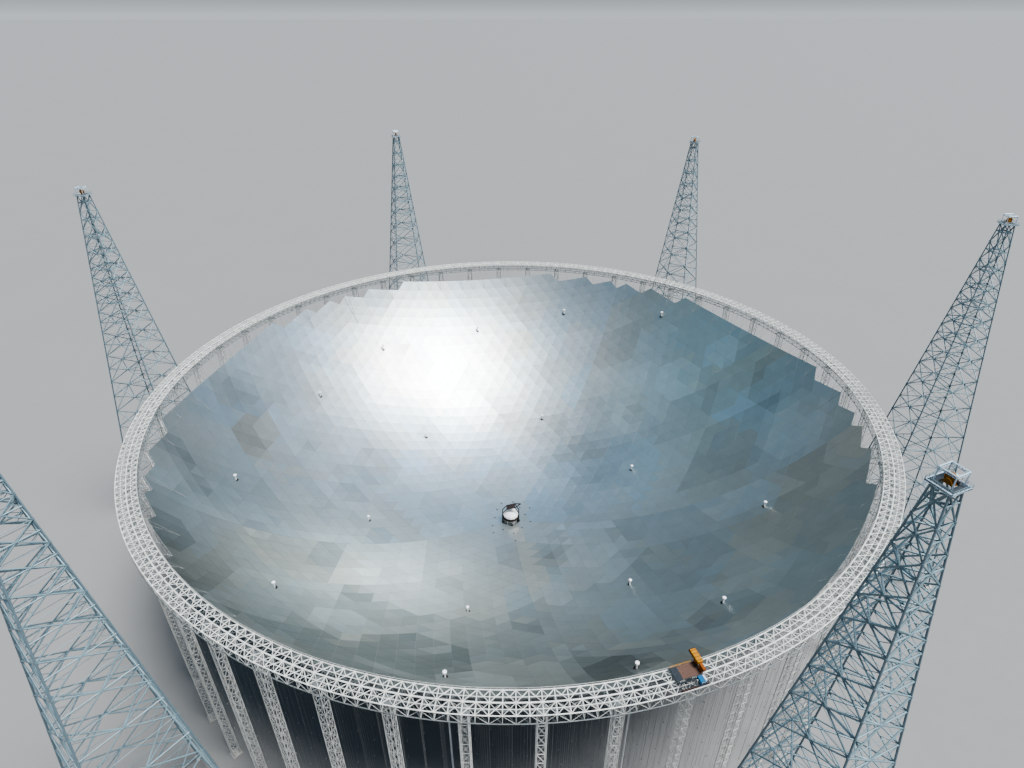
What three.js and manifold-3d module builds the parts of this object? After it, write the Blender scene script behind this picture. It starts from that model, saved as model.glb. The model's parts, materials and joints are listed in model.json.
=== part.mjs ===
// Radio telescope dish as a 1:20 scale model.
// Millimetres, +Z up, origin on the ground under the middle of the bowl.
import * as THREE from 'three';
import { mergeVertices } from 'three/addons/utils/BufferGeometryUtils.js';
import Module from 'manifold-3d';

const wasm = await Module();
wasm.setup();

// Scale: every driving dimension below is the real size in metres times this.
const scale = 1 / 20;
const metre = 1000 * scale;
const seatGap = 0.3;

// Ring truss on its columns
const ringRadius = 255.9 * metre;
const ringWidth = 11 * metre;
const ringDepth = 5.5 * metre;
const ringTop = 146.2 * metre;
const ringBottom = ringTop - ringDepth;
const chordRadius = 0.32 * metre;
const frameBar = 0.8 * metre;
const frameDepth = 0.5 * metre;
const headPlateDepth = 0.5 * metre;
const headPlateMargin = 0.36 * metre;
const headPlateLetIn = 0.2 * metre;
const columnCount = 50;
const columnWidth = 4 * metre;
const columnLegRadius = 0.3 * metre;
const columnStep = 360 / columnCount;
const firstColumnAzimuth = 6.6;
const segmentCount = 10;
const columnsPerSegment = columnCount / segmentCount;

// Bowl: part of a sphere, five-sided like the panel grid laid on it
const bowlRadius = 300 * metre;
const bowlBottom = 6 * metre;
const bowlCentre = new THREE.Vector3(0, 0, bowlBottom + bowlRadius);
const shellThickness = 0.8 * metre;
const sectorCount = 5;
const sectorSpan = 360 / sectorCount;
const firstSectorAzimuth = 26.5;
const gridRows = 32;
const rimPolarLimit = 56.1;
const capSlopes = [1.6, 5, 10, 14];
const innerSlopes = [14, 21, 28, 34];
const outerSlopes = [34, 41, 48];
const capSteps = 4;
const innerSteps = 6;
const outerSteps = 8;
const stretchesPerTie = 4;
const tieRadius = 0.22 * metre;

// Towers
const towerCount = 6;
const towerCircle = 300 * metre;
const firstTowerAzimuth = 53.1;
const towerTop = 275.2 * metre;
const towerTopSide = 5.2 * metre;
const towerTaper = 0.2;
const towerLegRadius = 0.7 * metre;
const towerBraceRadius = 0.38 * metre;
const towerLevels = [70, 128, 177, 217, 249].map((level) => level * metre);
const footingSide = 4.4 * metre;
const footingHeight = 1.2 * metre;
const capFrameDepth = 0.6 * metre;

// Tower heads
const platformSide = 8 * metre;
const platformDepth = 0.5 * metre;
const platformRim = 2.4 * metre;
const portalHeight = 5 * metre;
const portalSide = 6 * metre;
const portalBar = 0.4 * metre;
const pulleyRadius = 1.6 * metre;
const pulleyWidth = 1 * metre;
const pulleySides = 12;
const axleHeight = 1.85 * metre;
const cheekLength = 4.8 * metre;
const cheekDepth = 0.35 * metre;

// Feed cabin, its dock and the hoist frame over it
const cabinRadius = 6.5 * metre;
const cabinWallHeight = 3.6 * metre;
const cabinRoofRadius = 4 * metre;
const cabinHeight = 6.4 * metre;
const cabinSides = 12;
const dockTop = 10.5 * metre;
const dockDeckDepth = 0.6 * metre;
const dockLegCount = 6;
const dockLegCircle = 5 * metre;
const dockLegRadius = 0.4 * metre;
const hoistSpan = 14 * metre;
const hoistCrown = 3.5 * metre;
const hoistDepth = 5 * metre;
const hoistKnee = 15.5 * metre;
const hoistHeight = 20 * metre;
const hoistRise = 2 * metre;
const hoistArm = 5 * metre;
const hoistBar = 0.45 * metre;

// Survey pillars: distance from the middle in metres, and azimuth in degrees
const pillarPlaces = [
  [120, 133], [122, 75], [116, 20], [129, -49], [121, -104], [118, -167],
  [207, -167], [202, -135], [211, -99], [218, -73], [198, -50], [194, -19],
  [234, 49], [222, 75], [207, 100], [207, 129], [196, 154],
];
const pillarRadius = 0.5 * metre;
const pillarSides = 4;
const pillarHeadSides = 6;
const pillarClearance = 0.4 * metre;
const pillarRise = 4.5 * metre;
const pillarHoleReach = 3 * metre;
const pillarHeadRadius = 1.2 * metre;
const pillarHeadHeight = 1.2 * metre;

// Panel gantry that rides on the ring, over one of the columns
const gantryColumn = 39;
const gantryLength = 13 * metre;
const gantryWidth = 11 * metre;
const gantryDeckDepth = 0.5 * metre;
const gantryPostSide = 1.6 * metre;
const gantryGirderBottom = 3 * metre;
const gantryGirderHeight = 1.8 * metre;
const gantryGirderWidth = 2.6 * metre;
const gantryGirderLength = 13 * metre;
const gantryGirderShift = 2 * metre;
const gantryGirderTurn = 4 * metre;
const gantryCabLength = 3 * metre;
const gantryCabHeight = 2.6 * metre;

function finish(color, roughness, metalness) {
  return new THREE.MeshStandardMaterial({ color, roughness, metalness });
}

const panelAluminium = finish(0x9fa8a8, 0.45, 0.8);
const whiteSteel = finish(0xd9d8cf, 0.55, 0.3);
const blueSteel = finish(0x7f95a0, 0.5, 0.5);
const orangePaint = finish(0xb0662c, 0.5, 0.2);
const cabinWhite = finish(0xe9e6e4, 0.5, 0.1);
const darkSteel = finish(0x4a3b34, 0.6, 0.4);

function at(radius, azimuth, height) {
  const angle = THREE.MathUtils.degToRad(azimuth);
  return new THREE.Vector3(radius * Math.cos(angle), radius * Math.sin(angle), height);
}

function solidOf(geometry) {
  const bare = geometry.clone();
  bare.deleteAttribute('normal');
  bare.deleteAttribute('uv');
  const merged = mergeVertices(bare, 1e-3);
  return new wasm.Manifold(new wasm.Mesh({
    numProp: 3,
    vertProperties: merged.attributes.position.array,
    triVerts: Uint32Array.from(merged.index.array),
  }));
}

function geometryOf(solid) {
  const mesh = solid.getMesh();
  const geometry = new THREE.BufferGeometry();
  geometry.setAttribute('position', new THREE.BufferAttribute(mesh.vertProperties, 3));
  geometry.setIndex(new THREE.BufferAttribute(mesh.triVerts, 1));
  return geometry;
}

function join(solids) {
  return solids.reduce((whole, solid) => whole.add(solid));
}

function cut(solid, cutters) {
  return cutters.reduce((rest, cutter) => rest.subtract(cutter), solid);
}

// A straight prism of few sides, standing on the origin.
function prism(radius, sides, length) {
  const corners = Array.from({ length: sides }, (_, side) => {
    const angle = (2 * Math.PI * (side + 0.5)) / sides;
    return new THREE.Vector2(radius * Math.cos(angle), radius * Math.sin(angle));
  });
  return new THREE.ExtrudeGeometry(new THREE.Shape(corners), { depth: length, bevelEnabled: false });
}

function bar(from, to, radius, sides = 3) {
  const along = to.clone().sub(from);
  const turn = new THREE.Quaternion();
  turn.setFromUnitVectors(new THREE.Vector3(0, 0, 1), along.clone().normalize());
  const geometry = prism(radius, sides, along.length()).applyQuaternion(turn);
  return solidOf(geometry.translate(from.x, from.y, from.z));
}

function box(sizeX, sizeY, sizeZ, centre) {
  const geometry = new THREE.BoxGeometry(sizeX, sizeY, sizeZ);
  return solidOf(geometry.translate(centre.x, centre.y, centre.z));
}

function post(radius, sides, bottom, top, x = 0, y = 0) {
  return solidOf(prism(radius, sides, top - bottom).translate(x, y, bottom));
}

function squareFrame(side, barWidth, bottom, top) {
  const middle = new THREE.Vector3(0, 0, (top + bottom) / 2);
  const whole = box(side, side, top - bottom, middle);
  const inside = side - 2 * barWidth;
  return whole.subtract(box(inside, inside, 2 * (top - bottom), middle));
}

// A shell between the bowl's face and its back, from directions and their triangles.
// Each triangle is listed counter-clockwise as seen from above.
function shellOf(directions, triangles) {
  const count = directions.length;
  const corners = [bowlRadius, bowlRadius + shellThickness].flatMap((radius) =>
    directions.flatMap((direction) => direction.clone().multiplyScalar(radius).add(bowlCentre).toArray()));
  const faces = [];
  const edges = new Set();
  for (const [a, b, c] of triangles) {
    faces.push(a, b, c, a + count, c + count, b + count);
    [[a, b], [b, c], [c, a]].forEach(([p, q]) => edges.add(`${p} ${q}`));
  }
  for (const edge of edges) {
    const [p, q] = edge.split(' ').map(Number);
    if (!edges.has(`${q} ${p}`)) faces.push(q, p, p + count, q, p + count, q + count);
  }
  const geometry = new THREE.BufferGeometry();
  geometry.setAttribute('position', new THREE.BufferAttribute(new Float32Array(corners), 3));
  geometry.setIndex(faces);
  return solidOf(geometry);
}

// The direction from the bowl's centre at a turn from a sector's middle, on the plane
// through that centre that slopes up the sector's middle by the given angle.
function slopeDirection(sectorAzimuth, turn, slope) {
  const rise = Math.tan(THREE.MathUtils.degToRad(slope));
  const polar = Math.atan(rise / Math.cos(THREE.MathUtils.degToRad(turn)));
  const flat = at(Math.sin(polar), sectorAzimuth + turn, 0);
  return flat.setZ(-Math.cos(polar));
}

function turnsAcross(steps) {
  const halfGap = THREE.MathUtils.radToDeg(seatGap / 2 / (bowlRadius / 2));
  const reach = sectorSpan / 2 - halfGap;
  return Array.from({ length: steps + 1 }, (_, step) => -reach + (2 * reach * step) / steps);
}

function sectorGrid(sectorAzimuth, slopes, steps) {
  const gapSlope = THREE.MathUtils.radToDeg(seatGap / bowlRadius);
  const rows = slopes.map((slope, row) => slope + (row === 0 ? gapSlope : 0));
  const directions = rows.flatMap((slope) =>
    turnsAcross(steps).map((turn) => slopeDirection(sectorAzimuth, turn, slope)));
  const triangles = [];
  for (let row = 0; row < rows.length - 1; row += 1) {
    for (let step = 0; step < steps; step += 1) {
      const a = row * (steps + 1) + step;
      const b = a + steps + 1;
      triangles.push([a, b, b + 1], [a, b + 1, a + 1]);
    }
  }
  return { directions, triangles };
}

// The panel grid: each of the five sectors is one face of an icosahedron that stands on
// a corner, halved again and again on to the sphere until it has its rows of triangles.
function sectorCorners(sectorAzimuth) {
  const reach = Math.atan(2);
  const far = [-sectorSpan / 2, sectorSpan / 2].map((turn) =>
    at(Math.sin(reach), sectorAzimuth + turn, 0).setZ(-Math.cos(reach)));
  return [new THREE.Vector3(0, 0, -1), ...far];
}

// A node of the grid from its shares of the three corners, which add up to the rows.
// It lies halfway between two nodes of the next coarser grid.
function gridNode(corners, shares) {
  const whole = shares.indexOf(gridRows);
  if (whole >= 0) return corners[whole].clone();
  let step = 1;
  while (shares.every((share) => share % (2 * step) === 0)) step *= 2;
  const [first, second] = [0, 1, 2].filter((index) => (shares[index] / step) % 2 === 1);
  const neighbours = [step, -step].map((shift) => {
    const moved = [...shares];
    moved[first] += shift;
    moved[second] -= shift;
    return gridNode(corners, moved);
  });
  return neighbours[0].add(neighbours[1]).normalize();
}

function gridDirection(sectorAzimuth, row, place) {
  return gridNode(sectorCorners(sectorAzimuth), [gridRows - row, row - place, place]);
}

function polarAngle(direction) {
  return THREE.MathUtils.radToDeg(Math.acos(-direction.z));
}

// The stepped rim of one sector: along the last whole row, and out and back over the
// shorter rows that still lie inside the rim's limit.
function rimDirections(sectorAzimuth) {
  const rows = [];
  for (let row = 1; row <= gridRows; row += 1) {
    const places = Array.from({ length: row + 1 }, (_, place) => place);
    const kept = places.filter((place) =>
      polarAngle(gridDirection(sectorAzimuth, row, place)) <= rimPolarLimit);
    if (kept.length > 0) rows.push({ row, first: kept[0], last: kept.at(-1) });
  }
  const stepped = rows.slice(rows.findLastIndex(({ row, first, last }) => first === 0 && last === row));
  const nodes = [];
  stepped.forEach(({ row, first }, index) => {
    const next = stepped[index + 1];
    const stop = next ? next.first - 1 : stepped.at(-1).last;
    for (let place = first; place <= stop; place += 1) nodes.push([row, place]);
  });
  for (let index = stepped.length - 2; index >= 0; index -= 1) {
    const { row, last } = stepped[index];
    for (let place = stepped[index + 1].last; place <= last; place += 1) nodes.push([row, place]);
  }
  return nodes.map(([row, place]) => gridDirection(sectorAzimuth, row, place));
}

function turnOf(direction, sectorAzimuth) {
  const azimuth = THREE.MathUtils.radToDeg(Math.atan2(direction.y, direction.x));
  return THREE.MathUtils.euclideanModulo(azimuth - sectorAzimuth + 180, 360) - 180;
}

// Pulls the two end points of a rim in by half the gap between sectors.
function trimRim(rim, sectorAzimuth) {
  const halfGap = THREE.MathUtils.degToRad(sectorSpan / 2 - turnsAcross(1)[1]);
  const up = new THREE.Vector3(0, 0, 1);
  const trimmed = rim.map((direction) => direction.clone());
  trimmed[0].applyAxisAngle(up, halfGap);
  trimmed.at(-1).applyAxisAngle(up, -halfGap);
  return trimmed;
}

function outerSector(sectorAzimuth, steps) {
  const { directions, triangles } = sectorGrid(sectorAzimuth, outerSlopes, steps);
  const rim = trimRim(rimDirections(sectorAzimuth), sectorAzimuth);
  const turns = turnsAcross(steps);
  const rowStart = directions.length - turns.length;
  let [inner, outer] = [0, 0];
  while (inner < steps || outer < rim.length - 1) {
    const [a, b] = [rowStart + inner, directions.length + outer];
    const outerIsNext = outer < rim.length - 1
      && (inner === steps || turnOf(rim[outer + 1], sectorAzimuth) < turns[inner + 1]);
    if (outerIsNext) {
      triangles.push([a, b, b + 1]);
      outer += 1;
    } else {
      triangles.push([a, b, a + 1]);
      inner += 1;
    }
  }
  return shellOf([...directions, ...rim], triangles);
}

// The middle of the bowl, from the five-sided opening over the cabin's dock outwards.
function cap() {
  const around = capSteps * sectorCount;
  const directions = capSlopes.flatMap((slope) => Array.from({ length: around }, (_, place) => {
    const sectorAzimuth = firstSectorAzimuth + sectorSpan * Math.floor(place / capSteps);
    const turn = -sectorSpan / 2 + (sectorSpan * (place % capSteps)) / capSteps;
    return slopeDirection(sectorAzimuth, turn, slope);
  }));
  const triangles = [];
  for (let row = 0; row < capSlopes.length - 1; row += 1) {
    for (let place = 0; place < around; place += 1) {
      const next = (place + 1) % around;
      const [a, b] = [row * around, (row + 1) * around];
      triangles.push([a + place, b + place, b + next], [a + place, b + next, a + next]);
    }
  }
  return shellOf(directions, triangles);
}

function bowlHeight(radius) {
  return bowlCentre.z - Math.sqrt(bowlRadius ** 2 - radius ** 2);
}

const pillars = pillarPlaces.map(([distance, azimuth]) => {
  const foot = at(distance * metre, azimuth, 0);
  return { foot, surface: bowlHeight(distance * metre) };
});

function pillarHoles() {
  return pillars.map(({ foot, surface }) => {
    const radius = pillarRadius + pillarClearance;
    const [bottom, top] = [surface - pillarHoleReach, surface + pillarHoleReach];
    return post(radius, pillarSides, bottom, top, foot.x, foot.y);
  });
}

function reflector() {
  const holes = pillarHoles();
  const pieces = [['reflector_cap', cap()]];
  for (let sector = 0; sector < sectorCount; sector += 1) {
    const azimuth = firstSectorAzimuth + sector * sectorSpan;
    const inner = sectorGrid(azimuth, innerSlopes, innerSteps);
    const outer = outerSector(azimuth, outerSteps);
    pieces.push([`reflector_inner_${sector + 1}`, cut(shellOf(inner.directions, inner.triangles), holes)]);
    pieces.push([`reflector_outer_${sector + 1}`, cut(outer, holes)]);
  }
  return pieces.map(([name, solid]) => [name, solid, panelAluminium]);
}

// A point on a chord: chords run straight from column to column, as a polygon.
function chordPoint(radius, azimuth, height) {
  const half = columnStep / 2;
  const turn = THREE.MathUtils.euclideanModulo(azimuth - firstColumnAzimuth, columnStep) - half;
  const degree = THREE.MathUtils.degToRad(1);
  return at((radius * Math.cos(half * degree)) / Math.cos(turn * degree), azimuth, height);
}

const chordLines = [-1, 1].flatMap((side) => [ringTop, ringBottom].map((height) => {
  return { radius: ringRadius + (side * ringWidth) / 2, height };
}));

// One chord: a three-sided section carried from stop to stop round the ring.
function chord(centreRadius, height, stops) {
  const sides = 3;
  const corners = stops.flatMap((azimuth) => Array.from({ length: sides }, (_, side) => {
    const angle = Math.PI / 2 + (2 * Math.PI * side) / sides;
    const centre = chordPoint(centreRadius, azimuth, height + chordRadius * Math.sin(angle));
    return centre.add(at(chordRadius * Math.cos(angle), azimuth, 0)).toArray();
  }).flat());
  const faces = [0, 1, 2];
  for (let stop = 0; stop < stops.length - 1; stop += 1) {
    for (let side = 0; side < sides; side += 1) {
      const [a, b] = [stop * sides + side, stop * sides + ((side + 1) % sides)];
      faces.push(b, a, a + sides, b, a + sides, b + sides);
    }
  }
  const last = sides * (stops.length - 1);
  faces.push(last + 2, last + 1, last);
  const geometry = new THREE.BufferGeometry();
  geometry.setAttribute('position', new THREE.BufferAttribute(new Float32Array(corners), 3));
  geometry.setIndex(faces);
  return solidOf(geometry);
}

function chords(azimuths) {
  const halfGap = THREE.MathUtils.radToDeg(seatGap / 2 / ringRadius);
  const reach = columnStep / 2 - halfGap;
  const stops = [azimuths[0] - reach, ...azimuths, azimuths.at(-1) + reach];
  return chordLines.map(({ radius, height }) => chord(radius, height, stops));
}

function rectangle(halfWidth, low, high) {
  const corners = [[-halfWidth, low], [halfWidth, low], [halfWidth, high], [-halfWidth, high]];
  return corners.map(([x, y]) => new THREE.Vector2(x, y));
}

// An upright frame across the ring that the four chords run through.
function crossFrame(azimuth) {
  const half = frameBar / 2;
  const outline = new THREE.Shape(rectangle(ringWidth / 2 + half, ringBottom - half, ringTop + half));
  outline.holes.push(new THREE.Path(rectangle(ringWidth / 2 - half, ringBottom + half, ringTop - half)));
  const plate = new THREE.ExtrudeGeometry(outline, { depth: frameDepth, bevelEnabled: false });
  plate.translate(0, 0, -frameDepth / 2).rotateX(Math.PI / 2);
  plate.translate(ringRadius, 0, 0).rotateZ(THREE.MathUtils.degToRad(azimuth));
  return solidOf(plate);
}

// Four legs and the plate on top of them that the ring's frame is let into.
function column(azimuth) {
  const plateTop = ringBottom - frameBar / 2 + headPlateLetIn;
  const plateBottom = plateTop - headPlateDepth;
  const half = columnWidth / 2;
  const turn = THREE.MathUtils.degToRad(azimuth);
  const plateSide = columnWidth + 2 * headPlateMargin;
  const plate = new THREE.BoxGeometry(plateSide, plateSide, headPlateDepth);
  plate.translate(ringRadius, 0, (plateTop + plateBottom) / 2).rotateZ(turn);
  const solids = [solidOf(plate)];
  for (const [outward, sideways] of [[-half, -half], [half, -half], [half, half], [-half, half]]) {
    const legTop = plateBottom + headPlateDepth / 2;
    const leg = prism(columnLegRadius, 3, legTop);
    leg.translate(ringRadius + outward, sideways, 0).rotateZ(turn);
    solids.push(solidOf(leg));
  }
  return join(solids);
}

// Edge ties run from the inner bottom chord to some of the rim's stretches.
function rimTies() {
  const ties = [];
  for (let sector = 0; sector < sectorCount; sector += 1) {
    const rim = rimDirections(firstSectorAzimuth + sector * sectorSpan);
    for (let index = 1; index < rim.length - 1; index += stretchesPerTie) {
      const wallNormal = rim[index + 1].clone().cross(rim[index]).normalize();
      const middle = rim[index].clone().add(rim[index + 1]).normalize();
      if (wallNormal.dot(at(1, azimuthOf(middle), 0)) < 0) wallNormal.negate();
      const anchor = middle.multiplyScalar(bowlRadius + shellThickness / 2).add(bowlCentre);
      ties.push({ anchor, wallNormal, azimuth: azimuthOf(anchor) });
    }
  }
  return ties;
}

function azimuthOf(point) {
  return THREE.MathUtils.radToDeg(Math.atan2(point.y, point.x));
}

function tieBar({ anchor, wallNormal, azimuth }) {
  const start = chordPoint(ringRadius - ringWidth / 2, azimuth, ringBottom);
  const pull = start.clone().sub(anchor).normalize();
  const facing = pull.dot(wallNormal);
  const clear = seatGap + tieRadius * Math.sqrt(1 - facing ** 2);
  return bar(anchor.clone().addScaledVector(pull, clear / facing), start, tieRadius);
}

function ringSegments() {
  const ties = rimTies();
  const segmentSpan = 360 / segmentCount;
  const ringStart = firstColumnAzimuth - columnStep / 2;
  return Array.from({ length: segmentCount }, (_, segment) => {
    const start = ringStart + segment * segmentSpan;
    const azimuths = Array.from({ length: columnsPerSegment }, (_, index) =>
      start + columnStep * (index + 0.5));
    const solids = azimuths.map((azimuth) => crossFrame(azimuth).add(column(azimuth)));
    solids.push(...chords(azimuths));
    const own = ties.filter(({ azimuth }) =>
      THREE.MathUtils.euclideanModulo(azimuth - start, 360) < segmentSpan);
    solids.push(...own.map(tieBar));
    return [`ring_segment_${segment + 1}`, join(solids), whiteSteel];
  });
}

function towerSide(height) {
  return towerTopSide + towerTaper * (towerTop - height);
}

function towerCorners(height) {
  const half = towerSide(height) / 2;
  return [[-1, -1], [1, -1], [1, 1], [-1, 1]].map(([x, y]) => new THREE.Vector3(x * half, y * half, height));
}

function tower() {
  const solids = [];
  const feet = towerCorners(0);
  const frameBottom = towerTop - capFrameDepth;
  const tops = towerCorners(towerTop - capFrameDepth / 2);
  feet.forEach((foot, index) => {
    const lifted = foot.clone().lerp(tops[index], footingHeight / 2 / towerTop);
    solids.push(bar(lifted, tops[index], towerLegRadius));
    const middle = foot.clone().setZ(footingHeight / 2);
    solids.push(box(footingSide, footingSide, footingHeight, middle));
  });
  for (const level of towerLevels) {
    const corners = towerCorners(level);
    corners.forEach((corner, index) => {
      solids.push(bar(corner, corners[(index + 1) % 4], towerBraceRadius));
    });
  }
  const frameSide = towerSide(towerTop) + 2 * towerLegRadius;
  solids.push(squareFrame(frameSide, 2 * towerLegRadius, frameBottom, towerTop));
  return join(solids);
}

function towerHead() {
  const bottom = towerTop + seatGap;
  const deck = bottom + platformDepth;
  const frameTop = deck + portalHeight;
  const solids = [squareFrame(platformSide, platformRim, bottom, deck)];
  const half = (portalSide - portalBar) / 2;
  for (const x of [-half, half]) {
    for (const y of [-half, half]) {
      const middle = new THREE.Vector3(x, y, (bottom + frameTop) / 2);
      solids.push(box(portalBar, portalBar, frameTop - bottom, middle));
    }
  }
  solids.push(squareFrame(portalSide, portalBar, frameTop - portalBar, frameTop));
  return join(solids);
}

// The pulley's wheel stands upright between two cheeks that rest on the platform's inner edge.
function pulley() {
  const deck = towerTop + 2 * seatGap + platformDepth;
  const axle = deck + axleHeight;
  const wheel = new THREE.CylinderGeometry(pulleyRadius, pulleyRadius, pulleyWidth, pulleySides);
  const solids = [solidOf(wheel.translate(0, 0, axle))];
  for (const side of [-1, 1]) {
    const y = side * (pulleyWidth / 2 + cheekDepth / 2 - seatGap);
    const middle = new THREE.Vector3(0, y, (deck + axle) / 2);
    solids.push(box(cheekLength, cheekDepth, axle - deck, middle));
  }
  return join(solids);
}

function cabin() {
  const bottom = dockTop + seatGap;
  const profile = [
    [0, bottom],
    [cabinRadius, bottom],
    [cabinRadius, bottom + cabinWallHeight],
    [cabinRoofRadius, bottom + cabinHeight],
    [0, bottom + cabinHeight],
  ].map(([radius, height]) => new THREE.Vector2(radius, height));
  return solidOf(new THREE.LatheGeometry(profile, cabinSides).rotateX(Math.PI / 2));
}

function dock() {
  const solids = [post(cabinRadius, cabinSides, dockTop - dockDeckDepth, dockTop)];
  for (let leg = 0; leg < dockLegCount; leg += 1) {
    const foot = at(dockLegCircle, (360 * leg) / dockLegCount, 0);
    solids.push(post(dockLegRadius, 4, 0, dockTop - dockDeckDepth / 2, foot.x, foot.y));
  }
  return join(solids);
}

// Two portals carry a roof beam that slopes up to a short arm over one side.
function hoist() {
  const foot = hoistSpan / 2;
  const roof = [[-hoistCrown, hoistHeight], [hoistCrown, hoistHeight + hoistRise]];
  const tip = new THREE.Vector3(hoistCrown + hoistArm, 0, hoistHeight + 2 * hoistRise);
  const solids = [];
  for (const y of [-hoistDepth / 2, hoistDepth / 2]) {
    const [left, right] = roof.map(([x, height]) => new THREE.Vector3(x, y, height));
    for (const [side, top] of [[-1, left], [1, right]]) {
      const knee = new THREE.Vector3(side * foot, y, hoistKnee);
      solids.push(post(hoistBar, 4, 0, hoistKnee + hoistBar / 2, side * foot, y));
      solids.push(bar(knee, top, hoistBar));
    }
    solids.push(bar(left, right, hoistBar), bar(right, tip, hoistBar));
  }
  for (const [x, height] of roof) {
    const from = new THREE.Vector3(x, -hoistDepth / 2, height);
    const to = new THREE.Vector3(x, hoistDepth / 2, height);
    solids.push(bar(from, to, hoistBar));
  }
  return join(solids);
}

function pillar(surface) {
  const neck = surface + pillarRise;
  const shaft = post(pillarRadius, pillarSides, 0, neck);
  const head = post(pillarHeadRadius, pillarHeadSides, neck - pillarHeadHeight / 2, neck + pillarHeadHeight / 2);
  return shaft.add(head);
}

// A deck across the ring, a girder over it that reaches in over the bowl, and a cab.
// X points away from the bowl and Y along the ring.
function gantry() {
  const deckTop = gantryDeckDepth;
  const girderTop = gantryGirderBottom + gantryGirderHeight;
  const deckMiddle = new THREE.Vector3(0, -gantryGirderTurn / 2, gantryDeckDepth / 2);
  const girderMiddle = new THREE.Vector3(
    -gantryGirderShift,
    gantryGirderTurn,
    (gantryGirderBottom + girderTop) / 2,
  );
  const solids = [
    box(gantryWidth, gantryLength, gantryDeckDepth, deckMiddle),
    box(gantryGirderLength, gantryGirderWidth, gantryGirderHeight, girderMiddle),
  ];
  const reach = (gantryWidth - gantryPostSide) / 2;
  for (const x of [-reach, 0]) {
    const [bottom, top] = [deckTop / 2, gantryGirderBottom + gantryGirderHeight / 2];
    const middle = new THREE.Vector3(x, gantryGirderTurn, (bottom + top) / 2);
    solids.push(box(gantryPostSide, gantryPostSide, top - bottom, middle));
  }
  const cabMiddle = new THREE.Vector3(
    (gantryWidth - gantryCabLength) / 2,
    gantryGirderTurn - gantryGirderWidth / 4,
    (deckTop + gantryCabHeight) / 2,
  );
  solids.push(box(gantryCabLength, gantryCabLength, gantryCabHeight, cabMiddle));
  return join(solids);
}

const telescope = new THREE.Group();

function addPiece(name, solid, material, parent = telescope) {
  const mesh = new THREE.Mesh(geometryOf(solid), material);
  mesh.name = name;
  parent.add(mesh);
  return mesh;
}

reflector().forEach(([name, solid, material]) => addPiece(name, solid, material));
ringSegments().forEach(([name, solid, material]) => addPiece(name, solid, material));

for (let index = 0; index < towerCount; index += 1) {
  const azimuth = firstTowerAzimuth + (index * 360) / towerCount;
  const stand = new THREE.Group();
  stand.position.copy(at(towerCircle, azimuth, 0));
  stand.rotation.z = THREE.MathUtils.degToRad(azimuth);
  addPiece(`tower_${index + 1}`, tower(), blueSteel, stand);
  addPiece(`tower_head_${index + 1}`, towerHead(), whiteSteel, stand);
  addPiece(`tower_pulley_${index + 1}`, pulley(), orangePaint, stand);
  telescope.add(stand);
}

const gantryMesh = addPiece('ring_gantry', gantry(), orangePaint);
const gantryAzimuth = firstColumnAzimuth + gantryColumn * columnStep;
gantryMesh.position.copy(at(ringRadius, gantryAzimuth, ringTop + frameBar / 2 + seatGap));
gantryMesh.rotation.z = THREE.MathUtils.degToRad(gantryAzimuth);

addPiece('cabin_dock', dock(), darkSteel);
addPiece('feed_cabin', cabin(), cabinWhite);
addPiece('hoist_frame', hoist(), darkSteel);

pillars.forEach(({ foot, surface }, index) => {
  const mesh = addPiece(`survey_pillar_${index + 1}`, pillar(surface), cabinWhite);
  mesh.position.copy(foot);
});

export default telescope;
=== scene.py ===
"""Radio telescope dish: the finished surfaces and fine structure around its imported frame.

Metres, +Z up, origin on the ground under the middle of the bowl. The model is 1:20, so
the object's sizes are the real ones in metres times METRE. Named angles are in degrees,
and azimuths start at +X.
"""

from __future__ import annotations

import json
import logging
import math
from collections.abc import Callable, Sequence
from dataclasses import dataclass, field
from enum import Enum

import bpy
import numpy as np
from bpy.types import Material, MeshPolygon, Node, NodeSocket, NodeTree, Object
from mathutils import Matrix, Vector

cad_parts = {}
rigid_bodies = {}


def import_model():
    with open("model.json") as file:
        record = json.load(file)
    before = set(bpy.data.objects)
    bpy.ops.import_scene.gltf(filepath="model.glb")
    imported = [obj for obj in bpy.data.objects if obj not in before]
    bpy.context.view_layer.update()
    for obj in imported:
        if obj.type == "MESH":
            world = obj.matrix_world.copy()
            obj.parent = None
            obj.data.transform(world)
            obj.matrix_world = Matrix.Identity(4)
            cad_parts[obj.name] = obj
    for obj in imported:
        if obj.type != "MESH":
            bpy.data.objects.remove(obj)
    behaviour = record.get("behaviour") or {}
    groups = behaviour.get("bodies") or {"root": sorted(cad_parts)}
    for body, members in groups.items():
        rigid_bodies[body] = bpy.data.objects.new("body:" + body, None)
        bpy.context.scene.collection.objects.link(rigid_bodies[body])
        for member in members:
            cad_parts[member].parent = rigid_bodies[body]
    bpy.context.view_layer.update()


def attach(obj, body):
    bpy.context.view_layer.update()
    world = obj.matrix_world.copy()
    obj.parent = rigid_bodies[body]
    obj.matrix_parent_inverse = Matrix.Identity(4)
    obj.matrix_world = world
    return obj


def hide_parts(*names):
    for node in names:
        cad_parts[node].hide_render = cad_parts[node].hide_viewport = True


METRE = 1 / 20
BODY = "root"
UP = Vector((0, 0, 1))
IMAGE_WIDTH = 1024
IMAGE_HEIGHT = 768

# The gap that the frame keeps under a piece that rests on another.
REST_GAP = 0.3 / 1000

# The panel grid: its rows to a sector, and in the sphere primitive's own map the turns of
# its three directions and the height of one sector's triangle.
GRID_ROWS = 32
GRID_TURNS = (30, 90, 150)
MAP_HEIGHT = 0.157461

# Edges blunter than this look round, in degrees: on turned parts, and on bars and balls.
TURNED_CREASE = 40
BAR_CREASE = 80

Point = tuple[float, float, float]
Color = tuple[float, float, float]
Range = tuple[float, float]
Outline = Sequence[tuple[float, float]]
log = logging.getLogger("telescope")


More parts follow.
